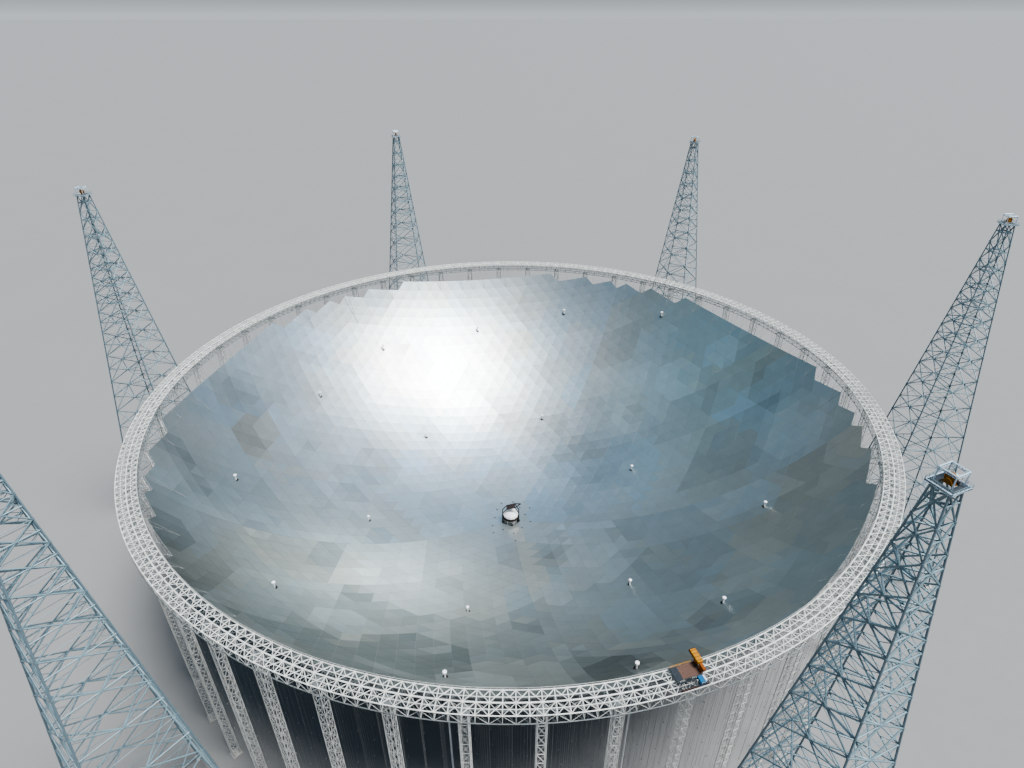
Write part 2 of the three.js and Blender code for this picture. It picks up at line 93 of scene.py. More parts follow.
class Slot(Enum):
    """The record's material slots."""

    PANEL = "panel_aluminium"
    WHITE = "white_steel"
    BLUE = "blue_steel"
    ORANGE = "orange_paint"
    CABIN = "cabin_white"
    DARK = "dark_steel"


class Level(Enum):
    """The two layers of the ring truss."""

    TOP = "top"
    BOTTOM = "bottom"


class Edge(Enum):
    """How far a block's edges are rounded."""

    BOARD = 0.0275 * METRE
    PANE = 0.03 * METRE
    SHEET = 0.04 * METRE
    PLATE = 0.05 * METRE
    DECK = 0.06 * METRE
    CASING = 0.1 * METRE
    BLOCK = 0.12 * METRE
    BODY = 0.15 * METRE


# Modelling helpers


def deselect_all() -> None:
    """Leave edit mode and leave nothing selected."""
    if bpy.context.object and bpy.context.object.mode != "OBJECT":
        bpy.ops.object.mode_set(mode="OBJECT")
    bpy.ops.object.select_all(action="DESELECT")


def select_only(pieces: Sequence[Object]) -> None:
    """Select these pieces and no others, the first one active.

    Args:
        pieces: The objects to select.
    """
    deselect_all()
    for piece in pieces:
        piece.select_set(True)
    bpy.context.view_layer.objects.active = pieces[0]


def settle(piece: Object) -> Object:
    """Put a piece's place, turn and size into its mesh.

    Args:
        piece: The object, which ends at the origin.

    Returns:
        The same object.
    """
    select_only([piece])
    bpy.ops.object.transform_apply(location=True, rotation=True, scale=True)
    return piece


def edit_whole(piece: Object) -> None:
    """Enter edit mode with the whole of a piece selected.

    Args:
        piece: The object to edit.
    """
    select_only([piece])
    bpy.ops.object.mode_set(mode="EDIT")
    bpy.ops.mesh.select_all(action="SELECT")


def edit_faces(piece: Object, wanted: Callable[[MeshPolygon], bool]) -> None:
    """Enter edit mode with the faces that pass a test selected.

    Args:
        piece: The object to edit.
        wanted: Says of each face whether it is selected.
    """
    select_only([piece])
    bpy.context.tool_settings.mesh_select_mode = (False, False, True)
    bpy.ops.object.mode_set(mode="EDIT")
    bpy.ops.mesh.select_all(action="DESELECT")
    bpy.ops.object.mode_set(mode="OBJECT")
    for face in piece.data.polygons:
        face.select = wanted(face)
    bpy.ops.object.mode_set(mode="EDIT")


def leave_edit() -> None:
    """Go back to object mode."""
    bpy.ops.object.mode_set(mode="OBJECT")


def apply_modifier(piece: Object, kind: str, **settings: object) -> None:
    """Add one modifier to a piece and apply it.

    Args:
        piece: The object to change.
        kind: The modifier's type.
        settings: The modifier's settings by name.
    """
    select_only([piece])
    modifier = piece.modifiers.new(kind.title(), kind)
    for name, value in settings.items():
        setattr(modifier, name, value)
    bpy.ops.object.modifier_apply(modifier=modifier.name)


def copy_at(piece: Object, place: Matrix, name: str = "copy") -> Object:
    """Copy a piece with a mesh of its own.

    Args:
        piece: The object to copy.
        place: The move, turn and size that the copy's mesh gets.
        name: The copy's name.

    Returns:
        The copy, with its object at the origin.
    """
    mesh = piece.data.copy()
    mesh.transform(place)
    mesh.name = name
    copy = bpy.data.objects.new(name, mesh)
    bpy.context.scene.collection.objects.link(copy)
    return copy


def discard(piece: Object) -> None:
    """Remove a pattern piece that only its copies are needed of."""
    bpy.data.objects.remove(piece)


def join(name: str, pieces: Sequence[Object]) -> Object:
    """Join pieces into one object at the origin.

    Args:
        name: The joined object's name.
        pieces: The objects, each with its place in its mesh.

    Returns:
        The joined object.
    """
    select_only(pieces)
    if len(pieces) > 1:
        bpy.ops.object.join()
    joined = bpy.context.object
    joined.name = name
    joined.data.name = name
    return settle(joined)


def repeated(name: str, pattern: Object, places: Sequence[Matrix]) -> Object:
    """Join copies of a pattern, which is then discarded.

    Args:
        name: The joined object's name.
        pattern: The piece to repeat.
        places: The place of each copy.

    Returns:
        The joined copies.
    """
    copies = [copy_at(pattern, place) for place in places]
    discard(pattern)
    return join(name, copies)


def smooth(piece: Object, degrees: float) -> Object:
    """Shade a piece smooth, apart from edges sharper than an angle.

    Args:
        piece: The object to shade.
        degrees: The angle.

    Returns:
        The same object.
    """
    select_only([piece])
    bpy.ops.object.shade_smooth_by_angle(angle=math.radians(degrees))
    return piece


def painted(piece: Object, paint: Material) -> Object:
    """Give a piece, or a part of one before it is joined, its material.

    Args:
        piece: The object to paint.
        paint: The material.

    Returns:
        The same object.
    """
    piece.data.materials.clear()
    piece.data.materials.append(paint)
    return piece


def hand_over(piece: Object, slot: Slot, *nodes: str) -> None:
    """Let a finished and painted piece ride on the frame, and report it.

    Args:
        piece: The piece.
        slot: The record's slot for the piece's finish; not used.
        nodes: The frame's nodes that it stands for.
    """
    if nodes:
        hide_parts(*nodes)
    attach(piece, BODY)
    piece.data.calc_loop_triangles()
    log.info("%s: %d triangles", piece.name, len(piece.data.loop_triangles))


def turn_to(azimuth: float) -> Matrix:
    """Return the turn about the upright axis by an azimuth in degrees."""
    return Matrix.Rotation(math.radians(azimuth), 4, "Z")


def polar(radius: float, azimuth: float, height: float) -> Vector:
    """Return the point at a distance from the upright axis, an azimuth and a height."""
    return turn_to(azimuth) @ Vector((radius, 0, height))


def azimuth_of(point: Vector) -> float:
    """Return the azimuth of a point in degrees."""
    return math.degrees(math.atan2(point.y, point.x))


def circle_of(count: int, radius: float, height: float) -> list[Vector]:
    """Return points at even turns round the upright axis, from azimuth 0."""
    return [polar(radius, index * 360 / count, height) for index in range(count)]


def square_of(side: float, height: float) -> list[Vector]:
    """Return the corners of a level square round the upright axis."""
    half = side / 2
    return [Vector((x * half, y * half, height)) for x, y in ((-1, -1), (1, -1), (1, 1), (-1, 1))]


def sides_of(corners: Sequence[Vector]) -> list[tuple[Vector, Vector]]:
    """Return the two ends of each side of a closed outline."""
    return list(zip(corners, [*corners[1:], corners[0]]))


def block(size: Point, middle: Point, edge: Edge) -> Object:
    """Model a block with rounded edges.

    Args:
        size: Its size along each axis.
        middle: Its middle.
        edge: How far its edges are rounded.

    Returns:
        The block.
    """
    deselect_all()
    bpy.ops.mesh.primitive_cube_add(size=1, location=middle)
    piece = bpy.context.object
    piece.scale = size
    settle(piece)
    edit_whole(piece)
    bpy.ops.mesh.bevel(offset=edge.value, segments=2, affect="EDGES")
    leave_edit()
    return piece


def border(side: float, second: float, section: tuple[float, float], top: float, edge: Edge) -> Object:
    """Model four level strips along the sides of a square.

    Args:
        side: The square's side, which is also the length of the strips along X.
        second: The length of the strips along Y.
        section: The strips' width and depth.
        top: The height of their upper faces.
        edge: How far their edges are rounded.

    Returns:
        The joined strips.
    """
    width, depth = section
    reach = (side - width) / 2
    height = top - depth / 2
    strips = []
    for place in (-reach, reach):
        strips.append(block((side, width, depth), (0, place, height), edge))
        strips.append(block((width, second, depth), (place, 0, height), edge))
    return join("border", strips)


def narrowed(piece: Object, share: float) -> Object:
    """Draw the upper half of a piece in along X.

    Args:
        piece: The piece, with a flat top.
        share: What is left of its length at the top.

    Returns:
        The same piece.
    """
    heights = [vertex.co.z for vertex in piece.data.vertices]
    middle = (min(heights) + max(heights)) / 2
    across = [vertex.co.x for vertex in piece.data.vertices]
    centre = ((min(across) + max(across)) / 2, 0, middle)
    edit_faces(piece, lambda face: face.center.z > middle)
    bpy.ops.mesh.select_mode(type="VERT")
    bpy.ops.transform.resize(value=(share, 1, 1), center_override=centre)
    leave_edit()
    return piece


def loft(outline: Outline, sides: int) -> Object:
    """Model an upright solid that is extruded from ring to ring.

    Args:
        outline: The radius and height of each ring, from the bottom.
        sides: The number of sides.

    Returns:
        The closed solid on the upright axis.
    """
    radius, height = outline[0]
    deselect_all()
    bpy.ops.mesh.primitive_circle_add(
        vertices=sides, radius=radius, fill_type="NGON", location=(0, 0, height)
    )
    piece = settle(bpy.context.object)
    edit_whole(piece)
    for next_radius, next_height in outline[1:]:
        rise = {"value": (0, 0, next_height - height)}
        bpy.ops.mesh.extrude_region_move(TRANSFORM_OT_translate=rise)
        growth = next_radius / radius
        bpy.ops.transform.resize(value=(growth, growth, 1), center_override=(0, 0, next_height))
        radius, height = next_radius, next_height
    bpy.ops.mesh.select_all(action="SELECT")
    bpy.ops.mesh.normals_make_consistent(inside=False)
    leave_edit()
    return piece


@dataclass(frozen=True)
class Bar:
    """A straight bar from one point to another."""

    start: Vector
    end: Vector
    radius: float

    def place(self) -> Matrix:
        """Work out the matrix that carries an upright unit bar to this one.

        Returns:
            The matrix.
        """
        along = self.end - self.start
        turn = along.to_track_quat("Z", "Y").to_matrix().to_4x4()
        size = Matrix.Diagonal((self.radius, self.radius, along.length, 1))
        return Matrix.Translation(self.start) @ turn @ size


def lattice(name: str, bars: Sequence[Bar], sides: int) -> Object:
    """Build bars of few sides into one object.

    Args:
        name: The object's name.
        bars: The bars.
        sides: How many sides each bar has.

    Returns:
        The joined bars.
    """
    deselect_all()
    bpy.ops.mesh.primitive_cylinder_add(vertices=sides, radius=1, depth=1, location=(0, 0, 0.5))
    pattern = settle(bpy.context.object)
    return smooth(repeated(name, pattern, [bar.place() for bar in bars]), BAR_CREASE)


def joints(name: str, points: Sequence[Vector], radius: float) -> Object:
    """Build a small ball of few faces at each point.

    Args:
        name: The object's name.
        points: The middle of each ball.
        radius: The balls' radius.

    Returns:
        The joined balls.
    """
    deselect_all()
    bpy.ops.mesh.primitive_ico_sphere_add(subdivisions=1, radius=radius)
    pattern = settle(bpy.context.object)
    return smooth(repeated(name, pattern, [Matrix.Translation(point) for point in points]), BAR_CREASE)


def loop_of(corners: Sequence[Vector], radius: float) -> list[Bar]:
    """Return the bars round a closed outline."""
    return [Bar(start, end, radius) for start, end in sides_of(corners)]


def zigzag(
    low: tuple[Vector, Vector], high: tuple[Vector, Vector], steps: int, radius: float
) -> list[Bar]:
    """Return the bars that run up and down between two chords.

    Args:
        low: The ends of the lower chord.
        high: The ends of the upper chord.
        steps: How many bars there are.
        radius: The bars' radius.

    Returns:
        The bars.
    """
    points = []
    for step in range(steps + 1):
        start, end = high if step % 2 else low
        points.append(start.lerp(end, step / steps))
    return [Bar(start, end, radius) for start, end in zip(points, points[1:])]


def railing(
    ends: tuple[Vector, Vector], height: float, radius: float, bays: int, rails: Sequence[float] = (0.5, 1)
) -> list[Bar]:
    """Return a straight railing, with a post at the start of each bay.

    Args:
        ends: The ends of the railing's foot.
        height: Its height.
        radius: The radius of its bars.
        bays: How many bays it has.
        rails: The place of each rail as a share of the height.

    Returns:
        The bars.
    """
    start, end = ends
    lift = UP * height
    bars = [Bar(start + lift * share, end + lift * share, radius) for share in rails]
    feet = [start.lerp(end, bay / bays) for bay in range(bays)]
    return bars + [Bar(foot, foot + lift, radius) for foot in feet]


# Finishes


class Tree:
    """A tree of shader nodes, added one at a time."""

    def __init__(self, tree: NodeTree) -> None:
        """Take the tree that the nodes are added to."""
        self.nodes = tree.nodes
        self.links = tree.links

    def node(self, kind: str, inputs: dict[str | int, object] | None = None, **settings: object) -> Node:
        """Add a node.

        Args:
            kind: The node's type.
            inputs: A value or a socket for each input, by its name or number.
            settings: The node's own settings.

        Returns:
            The node.
        """
        made = self.nodes.new(kind)
        for name, value in settings.items():
            setattr(made, name, value)
        for name, value in (inputs or {}).items():
            self.feed(made.inputs[name], value)
        return made

    def feed(self, socket: NodeSocket, value: object) -> None:
        """Link a socket to an input, or set the input's value.

        Args:
            socket: The input.
            value: The socket to link, or a plain value.
        """
        if isinstance(value, NodeSocket):
            self.links.new(value, socket)
        else:
            socket.default_value = value

    def spread(self, value: NodeSocket, shown: Range, to: Range) -> NodeSocket:
        """Carry one range of a value to another, and keep it within that.

        Args:
            value: The value.
            shown: The range that is carried.
            to: The range that it is carried to.

        Returns:
            The value in that range.
        """
        inputs = {"Value": value, "From Min": shown[0], "From Max": shown[1]}
        inputs |= {"To Min": to[0], "To Max": to[1]}
        return self.node("ShaderNodeMapRange", inputs).outputs["Result"]

    def blend(self, share: object, first: object, second: object, mode: str = "MIX") -> NodeSocket:
        """Mix two colours.

        Args:
            share: The second colour's share.
            first: The first colour.
            second: The second colour.
            mode: How they are mixed.

        Returns:
            The mixed colour.
        """
        made = self.node("ShaderNodeMix", data_type="RGBA", blend_type=mode)
        for number, value in ((0, share), (6, first), (7, second)):
            full = (*value, 1) if isinstance(value, tuple) else value
            self.feed(made.inputs[number], full)
        return made.outputs[2]

    def math(self, operation: str, first: object, second: object) -> NodeSocket:
        """Return a sum, product or comparison of two values."""
        return self.node("ShaderNodeMath", {0: first, 1: second}, operation=operation).outputs[0]

    def dot(self, first: object, second: object) -> NodeSocket:
        """Return how far one vector reaches along another."""
        made = self.node("ShaderNodeVectorMath", {0: first, 1: second}, operation="DOT_PRODUCT")
        return made.outputs["Value"]


@dataclass(frozen=True)
class Grain:
    """Noise over a surface.

    Scale is its features to a metre and detail its finer layers. The range of it that is
    shown is carried to another one.
    """

    scale: float
    detail: float = 4
    shown: Range = (0.3, 0.7)
    to: Range = (0, 1)


class Shader(Tree):
    """A material's nodes, which end in one surface."""

    def __init__(self, name: str) -> None:
        """Start a material with a plain surface.

        Args:
            name: The material's name.
        """
        self.material = bpy.data.materials.new(name)
        self.material.use_nodes = True
        super().__init__(self.material.node_tree)
        self.surface = self.nodes["Principled BSDF"]
        self.place = self.node("ShaderNodeTexCoord").outputs["Object"]

    def noise(self, grain: Grain, place: NodeSocket | None = None) -> NodeSocket:
        """Return plain noise, at the object's own coordinates or at a place."""
        inputs = {"Vector": place or self.place, "Scale": grain.scale, "Detail": grain.detail}
        return self.node("ShaderNodeTexNoise", inputs).outputs["Fac"]

    def patches(self, grain: Grain, to: Range | None = None, place: NodeSocket | None = None) -> NodeSocket:
        """Return noise that is carried to a range.

        Args:
            grain: The noise.
            to: The range, or the grain's own.
            place: The coordinates, or the object's own.

        Returns:
            The value.
        """
        return self.spread(self.noise(grain, place), grain.shown, to or grain.to)

    def stretched(self, scale: Point) -> NodeSocket:
        """Return the object's coordinates, stretched along each axis."""
        return self.node("ShaderNodeMapping", {"Vector": self.place, "Scale": scale}).outputs[0]

    def attribute(self, name: str) -> NodeSocket:
        """Return the value of one of the mesh's attributes."""
        return self.node("ShaderNodeAttribute", attribute_name=name).outputs["Fac"]

    def gray(self, value: NodeSocket) -> NodeSocket:
        """Return a gray from one value."""
        return self.node("ShaderNodeCombineColor", {0: value, 1: value, 2: value}).outputs[0]

    def relief(self, height: NodeSocket, distance: float, strength: float = 1) -> None:
        """Raise the surface's normal by a height."""
        inputs = {"Height": height, "Distance": distance, "Strength": strength}
        self.feed(self.surface.inputs["Normal"], self.node("ShaderNodeBump", inputs).outputs[0])

    def finish(
        self, color: NodeSocket, roughness: NodeSocket, metallic: float = 0, gloss: float = 0.5
    ) -> Material:
        """Link the surface up.

        Args:
            color: The base colour.
            roughness: The roughness.
            metallic: The metallic share.
            gloss: How strongly a surface that is no metal mirrors.

        Returns:
            The finished material.
        """
        values = {"Base Color": color, "Roughness": roughness, "Metallic": metallic}
        values["Specular IOR Level"] = gloss
        for name, value in values.items():
            self.feed(self.surface.inputs[name], value)
        return self.material


@dataclass(frozen=True)
class PaintedSteel:
    """Painted steel with dust, rain streaks and rust where the paint is thin."""

    name: str
    color: Color
    darkened: Color
    roughness: float = 0.5
    metallic: float = 0.15
    rust_share: float = 0.35
    gloss: float = 0.5
    rust: Color = (0.2, 0.09, 0.045)
    dust: Grain = Grain(3, 6, (0.35, 0.7), (0, 0.75))
    streaks: Grain = Grain(9, 3, (0.5, 0.75), (0, 0.3))
    streak_stretch: Point = (3, 3, 0.25)
    wear: Grain = Grain(26, 8, (0.66, 0.74))
    sheen: Grain = Grain(12, 5)
    smoother: float = 0.08
    rougher: float = 0.14
    ripple: Grain = Grain(140, 3)
    ripple_height: float = 0.0006

    def material(self) -> Material:
        """Make the material of this finish.

        Returns:
            The material.
        """
        shader = Shader(self.name)
        color = shader.blend(shader.patches(self.dust), self.color, self.darkened)
        streaks = shader.patches(self.streaks, place=shader.stretched(self.streak_stretch))
        color = shader.blend(streaks, color, self.darkened, "MULTIPLY")
        color = shader.blend(shader.patches(self.wear, (0, self.rust_share)), color, self.rust)
        around = (self.roughness - self.smoother, self.roughness + self.rougher)
        shader.relief(shader.noise(self.ripple), self.ripple_height)
        return shader.finish(color, shader.patches(self.sheen, around), self.metallic, self.gloss)


@dataclass(frozen=True)
class PanelSheet:
    """Perforated aluminium sheets, each with the tone of the lot that it came from."""

    name: str = "panel sheet"
    dark: Color = (0.10, 0.11, 0.11)
    light: Color = (0.74, 0.75, 0.74)
    cool: Color = (0.80, 0.98, 1.08)
    warm: Color = (1.0, 0.955, 0.85)
    grazing: Color = (0.80, 0.80, 0.79)
    seam: Color = (0.25, 0.25, 0.24)
    metallic: float = 1.0
    rough: float = 0.41
    glossy: float = 0.32
    haze: Grain = Grain(0.35, 5, (0.3, 0.7), (-0.06, 0.06))
    rain: Grain = Grain(2.2, 6, (0.35, 0.7), (-0.035, 0.035))
    scuffs: Grain = Grain(30, 4, (0.3, 0.7), (-0.03, 0.03))
    dents: Grain = Grain(45)
    dent_height: float = 0.0008
    dent_strength: float = 0.5
    sheets_per_row: int = 10
    seam_width: float = 0.06
    seam_strength: float = 0.13

    def material(self) -> Material:
        """Make the material of this finish.

        Returns:
            The material.
        """
        shader = Shader(self.name)
        tone = shader.attribute("tone")
        color = shader.blend(tone, self.dark, self.light)
        hue = shader.blend(shader.attribute("warmth"), self.cool, self.warm)
        color = shader.blend(1, color, hue, "MULTIPLY")
        weather = shader.math("ADD", shader.patches(self.haze), shader.patches(self.rain))
        color = shader.blend(1, color, shader.gray(shader.math("ADD", 1, weather)), "MULTIPLY")
        color = shader.blend(self.seams(shader), color, self.seam)
        roughness = shader.spread(tone, (0, 1), (self.rough, self.glossy))
        roughness = shader.math("ADD", roughness, shader.patches(self.scuffs))
        shader.relief(shader.noise(self.dents), self.dent_height, self.dent_strength)
        shader.feed(shader.surface.inputs["Specular Tint"], (*self.grazing, 1))
        return shader.finish(color, roughness, self.metallic)

    def seams(self, shader: Shader) -> NodeSocket:
        """Return how much the joins between a panel's small sheets show, which run three ways.

        Args:
            shader: The material's nodes.

        Returns:
            The strength of the joins.
        """
        place = shader.node("ShaderNodeUVMap", uv_map="UVMap").outputs[0]
        rows = self.sheets_per_row * GRID_ROWS / MAP_HEIGHT
        joins: object = 0.0
        for degrees in GRID_TURNS:
            turn = math.radians(degrees)
            across = (math.cos(turn) * rows, math.sin(turn) * rows, 0)
            phase = shader.math("FRACT", shader.dot(place, across), 0)
            joins = shader.math("MAXIMUM", joins, shader.math("LESS_THAN", phase, self.seam_width))
        return shader.math("MULTIPLY", joins, self.seam_strength)


@dataclass(frozen=True)
class Concrete:
    """Weathered concrete."""

    name: str = "footing concrete"
    color: Color = (0.34, 0.33, 0.31)
    stain: Color = (0.2, 0.185, 0.16)
    stains: Grain = Grain(9, 8, (0.4, 0.7), (0, 0.8))
    roughness: Grain = Grain(40, to=(0.75, 0.92))
    pits: Grain = Grain(90, 6)
    pit_depth: float = 0.002

    def material(self) -> Material:
        """Make the material of this finish.

        Returns:
            The material.
        """
        shader = Shader(self.name)
        color = shader.blend(shader.patches(self.stains), self.color, self.stain)
        shader.relief(shader.noise(self.pits), self.pit_depth)
        return shader.finish(color, shader.patches(self.roughness))


@dataclass(frozen=True)
class WireRope:
    """Galvanised wire rope and rods."""

    name: str = "galvanised rope"
    color: Color = (0.36, 0.37, 0.37)
    dull: Color = (0.2, 0.2, 0.19)
    metallic: float = 0.8
    dulled: Grain = Grain(14, 5, (0.35, 0.7))
    roughness: Grain = Grain(60, to=(0.4, 0.6))

    def material(self) -> Material:
        """Make the material of this finish.

        Returns:
            The material.
        """
        shader = Shader(self.name)
        color = shader.blend(shader.patches(self.dulled), self.color, self.dull)
        return shader.finish(color, shader.patches(self.roughness), self.metallic)


@dataclass(frozen=True)
class Planks:
    """Sawn boards of a working deck."""

    name: str = "deck boards"
    color: Color = (0.04, 0.02, 0.015)
    pale: Color = (0.11, 0.06, 0.042)
    gloss: float = 0.12
    grain: Grain = Grain(60, 5)
    grain_stretch: Point = (1, 8, 8)
    grain_height: float = 0.001
    roughness: Range = (0.6, 0.8)

    def material(self) -> Material:
        """Make the material of this finish.

        Returns:
            The material.
        """
        shader = Shader(self.name)
        grain = shader.noise(self.grain, shader.stretched(self.grain_stretch))
        pale = shader.spread(grain, self.grain.shown, self.grain.to)
        shader.relief(grain, self.grain_height)
        roughness = shader.spread(grain, self.grain.shown, self.roughness)
        return shader.finish(shader.blend(pale, self.color, self.pale), roughness, gloss=self.gloss)


@dataclass(frozen=True)
class TintedGlass:
    """Dark glazing of the cab."""

    name: str = "tinted glass"
    color: Color = (0.03, 0.045, 0.06)
    film: Color = (0.1, 0.12, 0.13)
    filmed: Grain = Grain(8, 4, (0.4, 0.7), (0, 0.3))
    smears: Grain = Grain(30, to=(0.06, 0.16))

    def material(self) -> Material:
        """Make the material of this finish.

        Returns:
            The material.
        """
        shader = Shader(self.name)
        color = shader.blend(shader.patches(self.filmed), self.color, self.film)
        return shader.finish(color, shader.patches(self.smears))


@dataclass(frozen=True)
class StudioFloor:
    """A plain pale floor."""

    name: str = "studio floor"
    color: Color = (0.135, 0.134, 0.13)
    faint: Color = (0.127, 0.126, 0.122)
    mottle: Grain = Grain(0.2, 3)
    roughness: Grain = Grain(1.5, to=(0.85, 0.95))

    def material(self) -> Material:
        """Make the material of this finish.

        Returns:
            The material.
        """
        shader = Shader(self.name)
        color = shader.blend(shader.noise(self.mottle), self.color, self.faint)
        return shader.finish(color, shader.patches(self.roughness))


def steel(name: str, color: Color, darkened: Color, roughness: float, **finish: float) -> Material:
    """Return a painted steel.

    Args:
        name: The material's name.
        color: The paint's colour.
        darkened: Its colour under dust.
        roughness: Its roughness.
        finish: Other values of the finish by name.

    Returns:
        The material.
    """
    return PaintedSteel(name, color, darkened, roughness, **finish).material()


class Palette:
    """All the materials, each made once."""

    def __init__(self) -> None:
        """Make every material."""
        self.panel = PanelSheet().material()
        self.rope = WireRope().material()
        self.concrete = Concrete().material()
        self.planks = Planks().material()
        self.glass = TintedGlass().material()
        self.frame = steel("panel frame gray", (0.30, 0.31, 0.31), (0.2, 0.2, 0.19), 0.5)
        self.white = steel("white steel", (0.60, 0.60, 0.57), (0.38, 0.37, 0.33), 0.45)
        # The ring's white steel painted darker as painted shade, for the inner web and lower layer of the
        # truss and for the columns' head plates.
        self.shade = steel("white steel in painted shade", (0.12, 0.135, 0.135), (0.08, 0.088, 0.083), 0.6)
        self.blue = steel("pale blue steel", (0.125, 0.20, 0.23), (0.10, 0.15, 0.17), 0.42)
        # The legs' steel is the braces' blue painted darker, in part as painted shade on the legs.
        self.shaded_leg_blue = steel("leg blue steel with painted shade", (0.085, 0.14, 0.17), (0.09, 0.13, 0.15), 0.4)
        self.pale_blue = steel("edge pale blue", (0.40, 0.53, 0.63), (0.3, 0.38, 0.43), 0.42)
        sound = {"metallic": 0.0, "rust_share": 0.1}
        self.cabin = steel("cabin white", (0.70, 0.69, 0.70), (0.52, 0.51, 0.51), 0.4, **sound)
        matt = {**sound, "gloss": 0.1}
        self.orange = steel("orange paint", (0.20, 0.045, 0.0), (0.12, 0.03, 0.001), 0.6, **matt)
        self.brown = steel("orange brown paint", (0.24, 0.09, 0.005), (0.10, 0.04, 0.008), 0.6, **matt)
        self.yellow = steel("yellow paint", (0.30, 0.125, 0.0), (0.24, 0.095, 0.0), 0.6, **matt)
        self.cab = steel("cab blue", (0.0, 0.075, 0.19), (0.0, 0.06, 0.14), 0.6, **matt)
        worn = {"metallic": 0.0, "rust_share": 0.2}
        dark, dark_dust = (0.010, 0.007, 0.007), (0.016, 0.011, 0.010)
        self.dark = steel("dark brown steel", dark, dark_dust, 0.8, gloss=0.12, **worn)
        grating, grating_dust = (0.008, 0.013, 0.018), (0.02, 0.026, 0.03)
        self.grating = steel("deck grating", grating, grating_dust, 0.6, gloss=0.2, **worn)


# Sub-assemblies


@dataclass(frozen=True)
class Lots:
    """Lots of panels that came together: how many there are and how far they differ."""

    count: int
    tone_spread: float
    warmth_spread: float


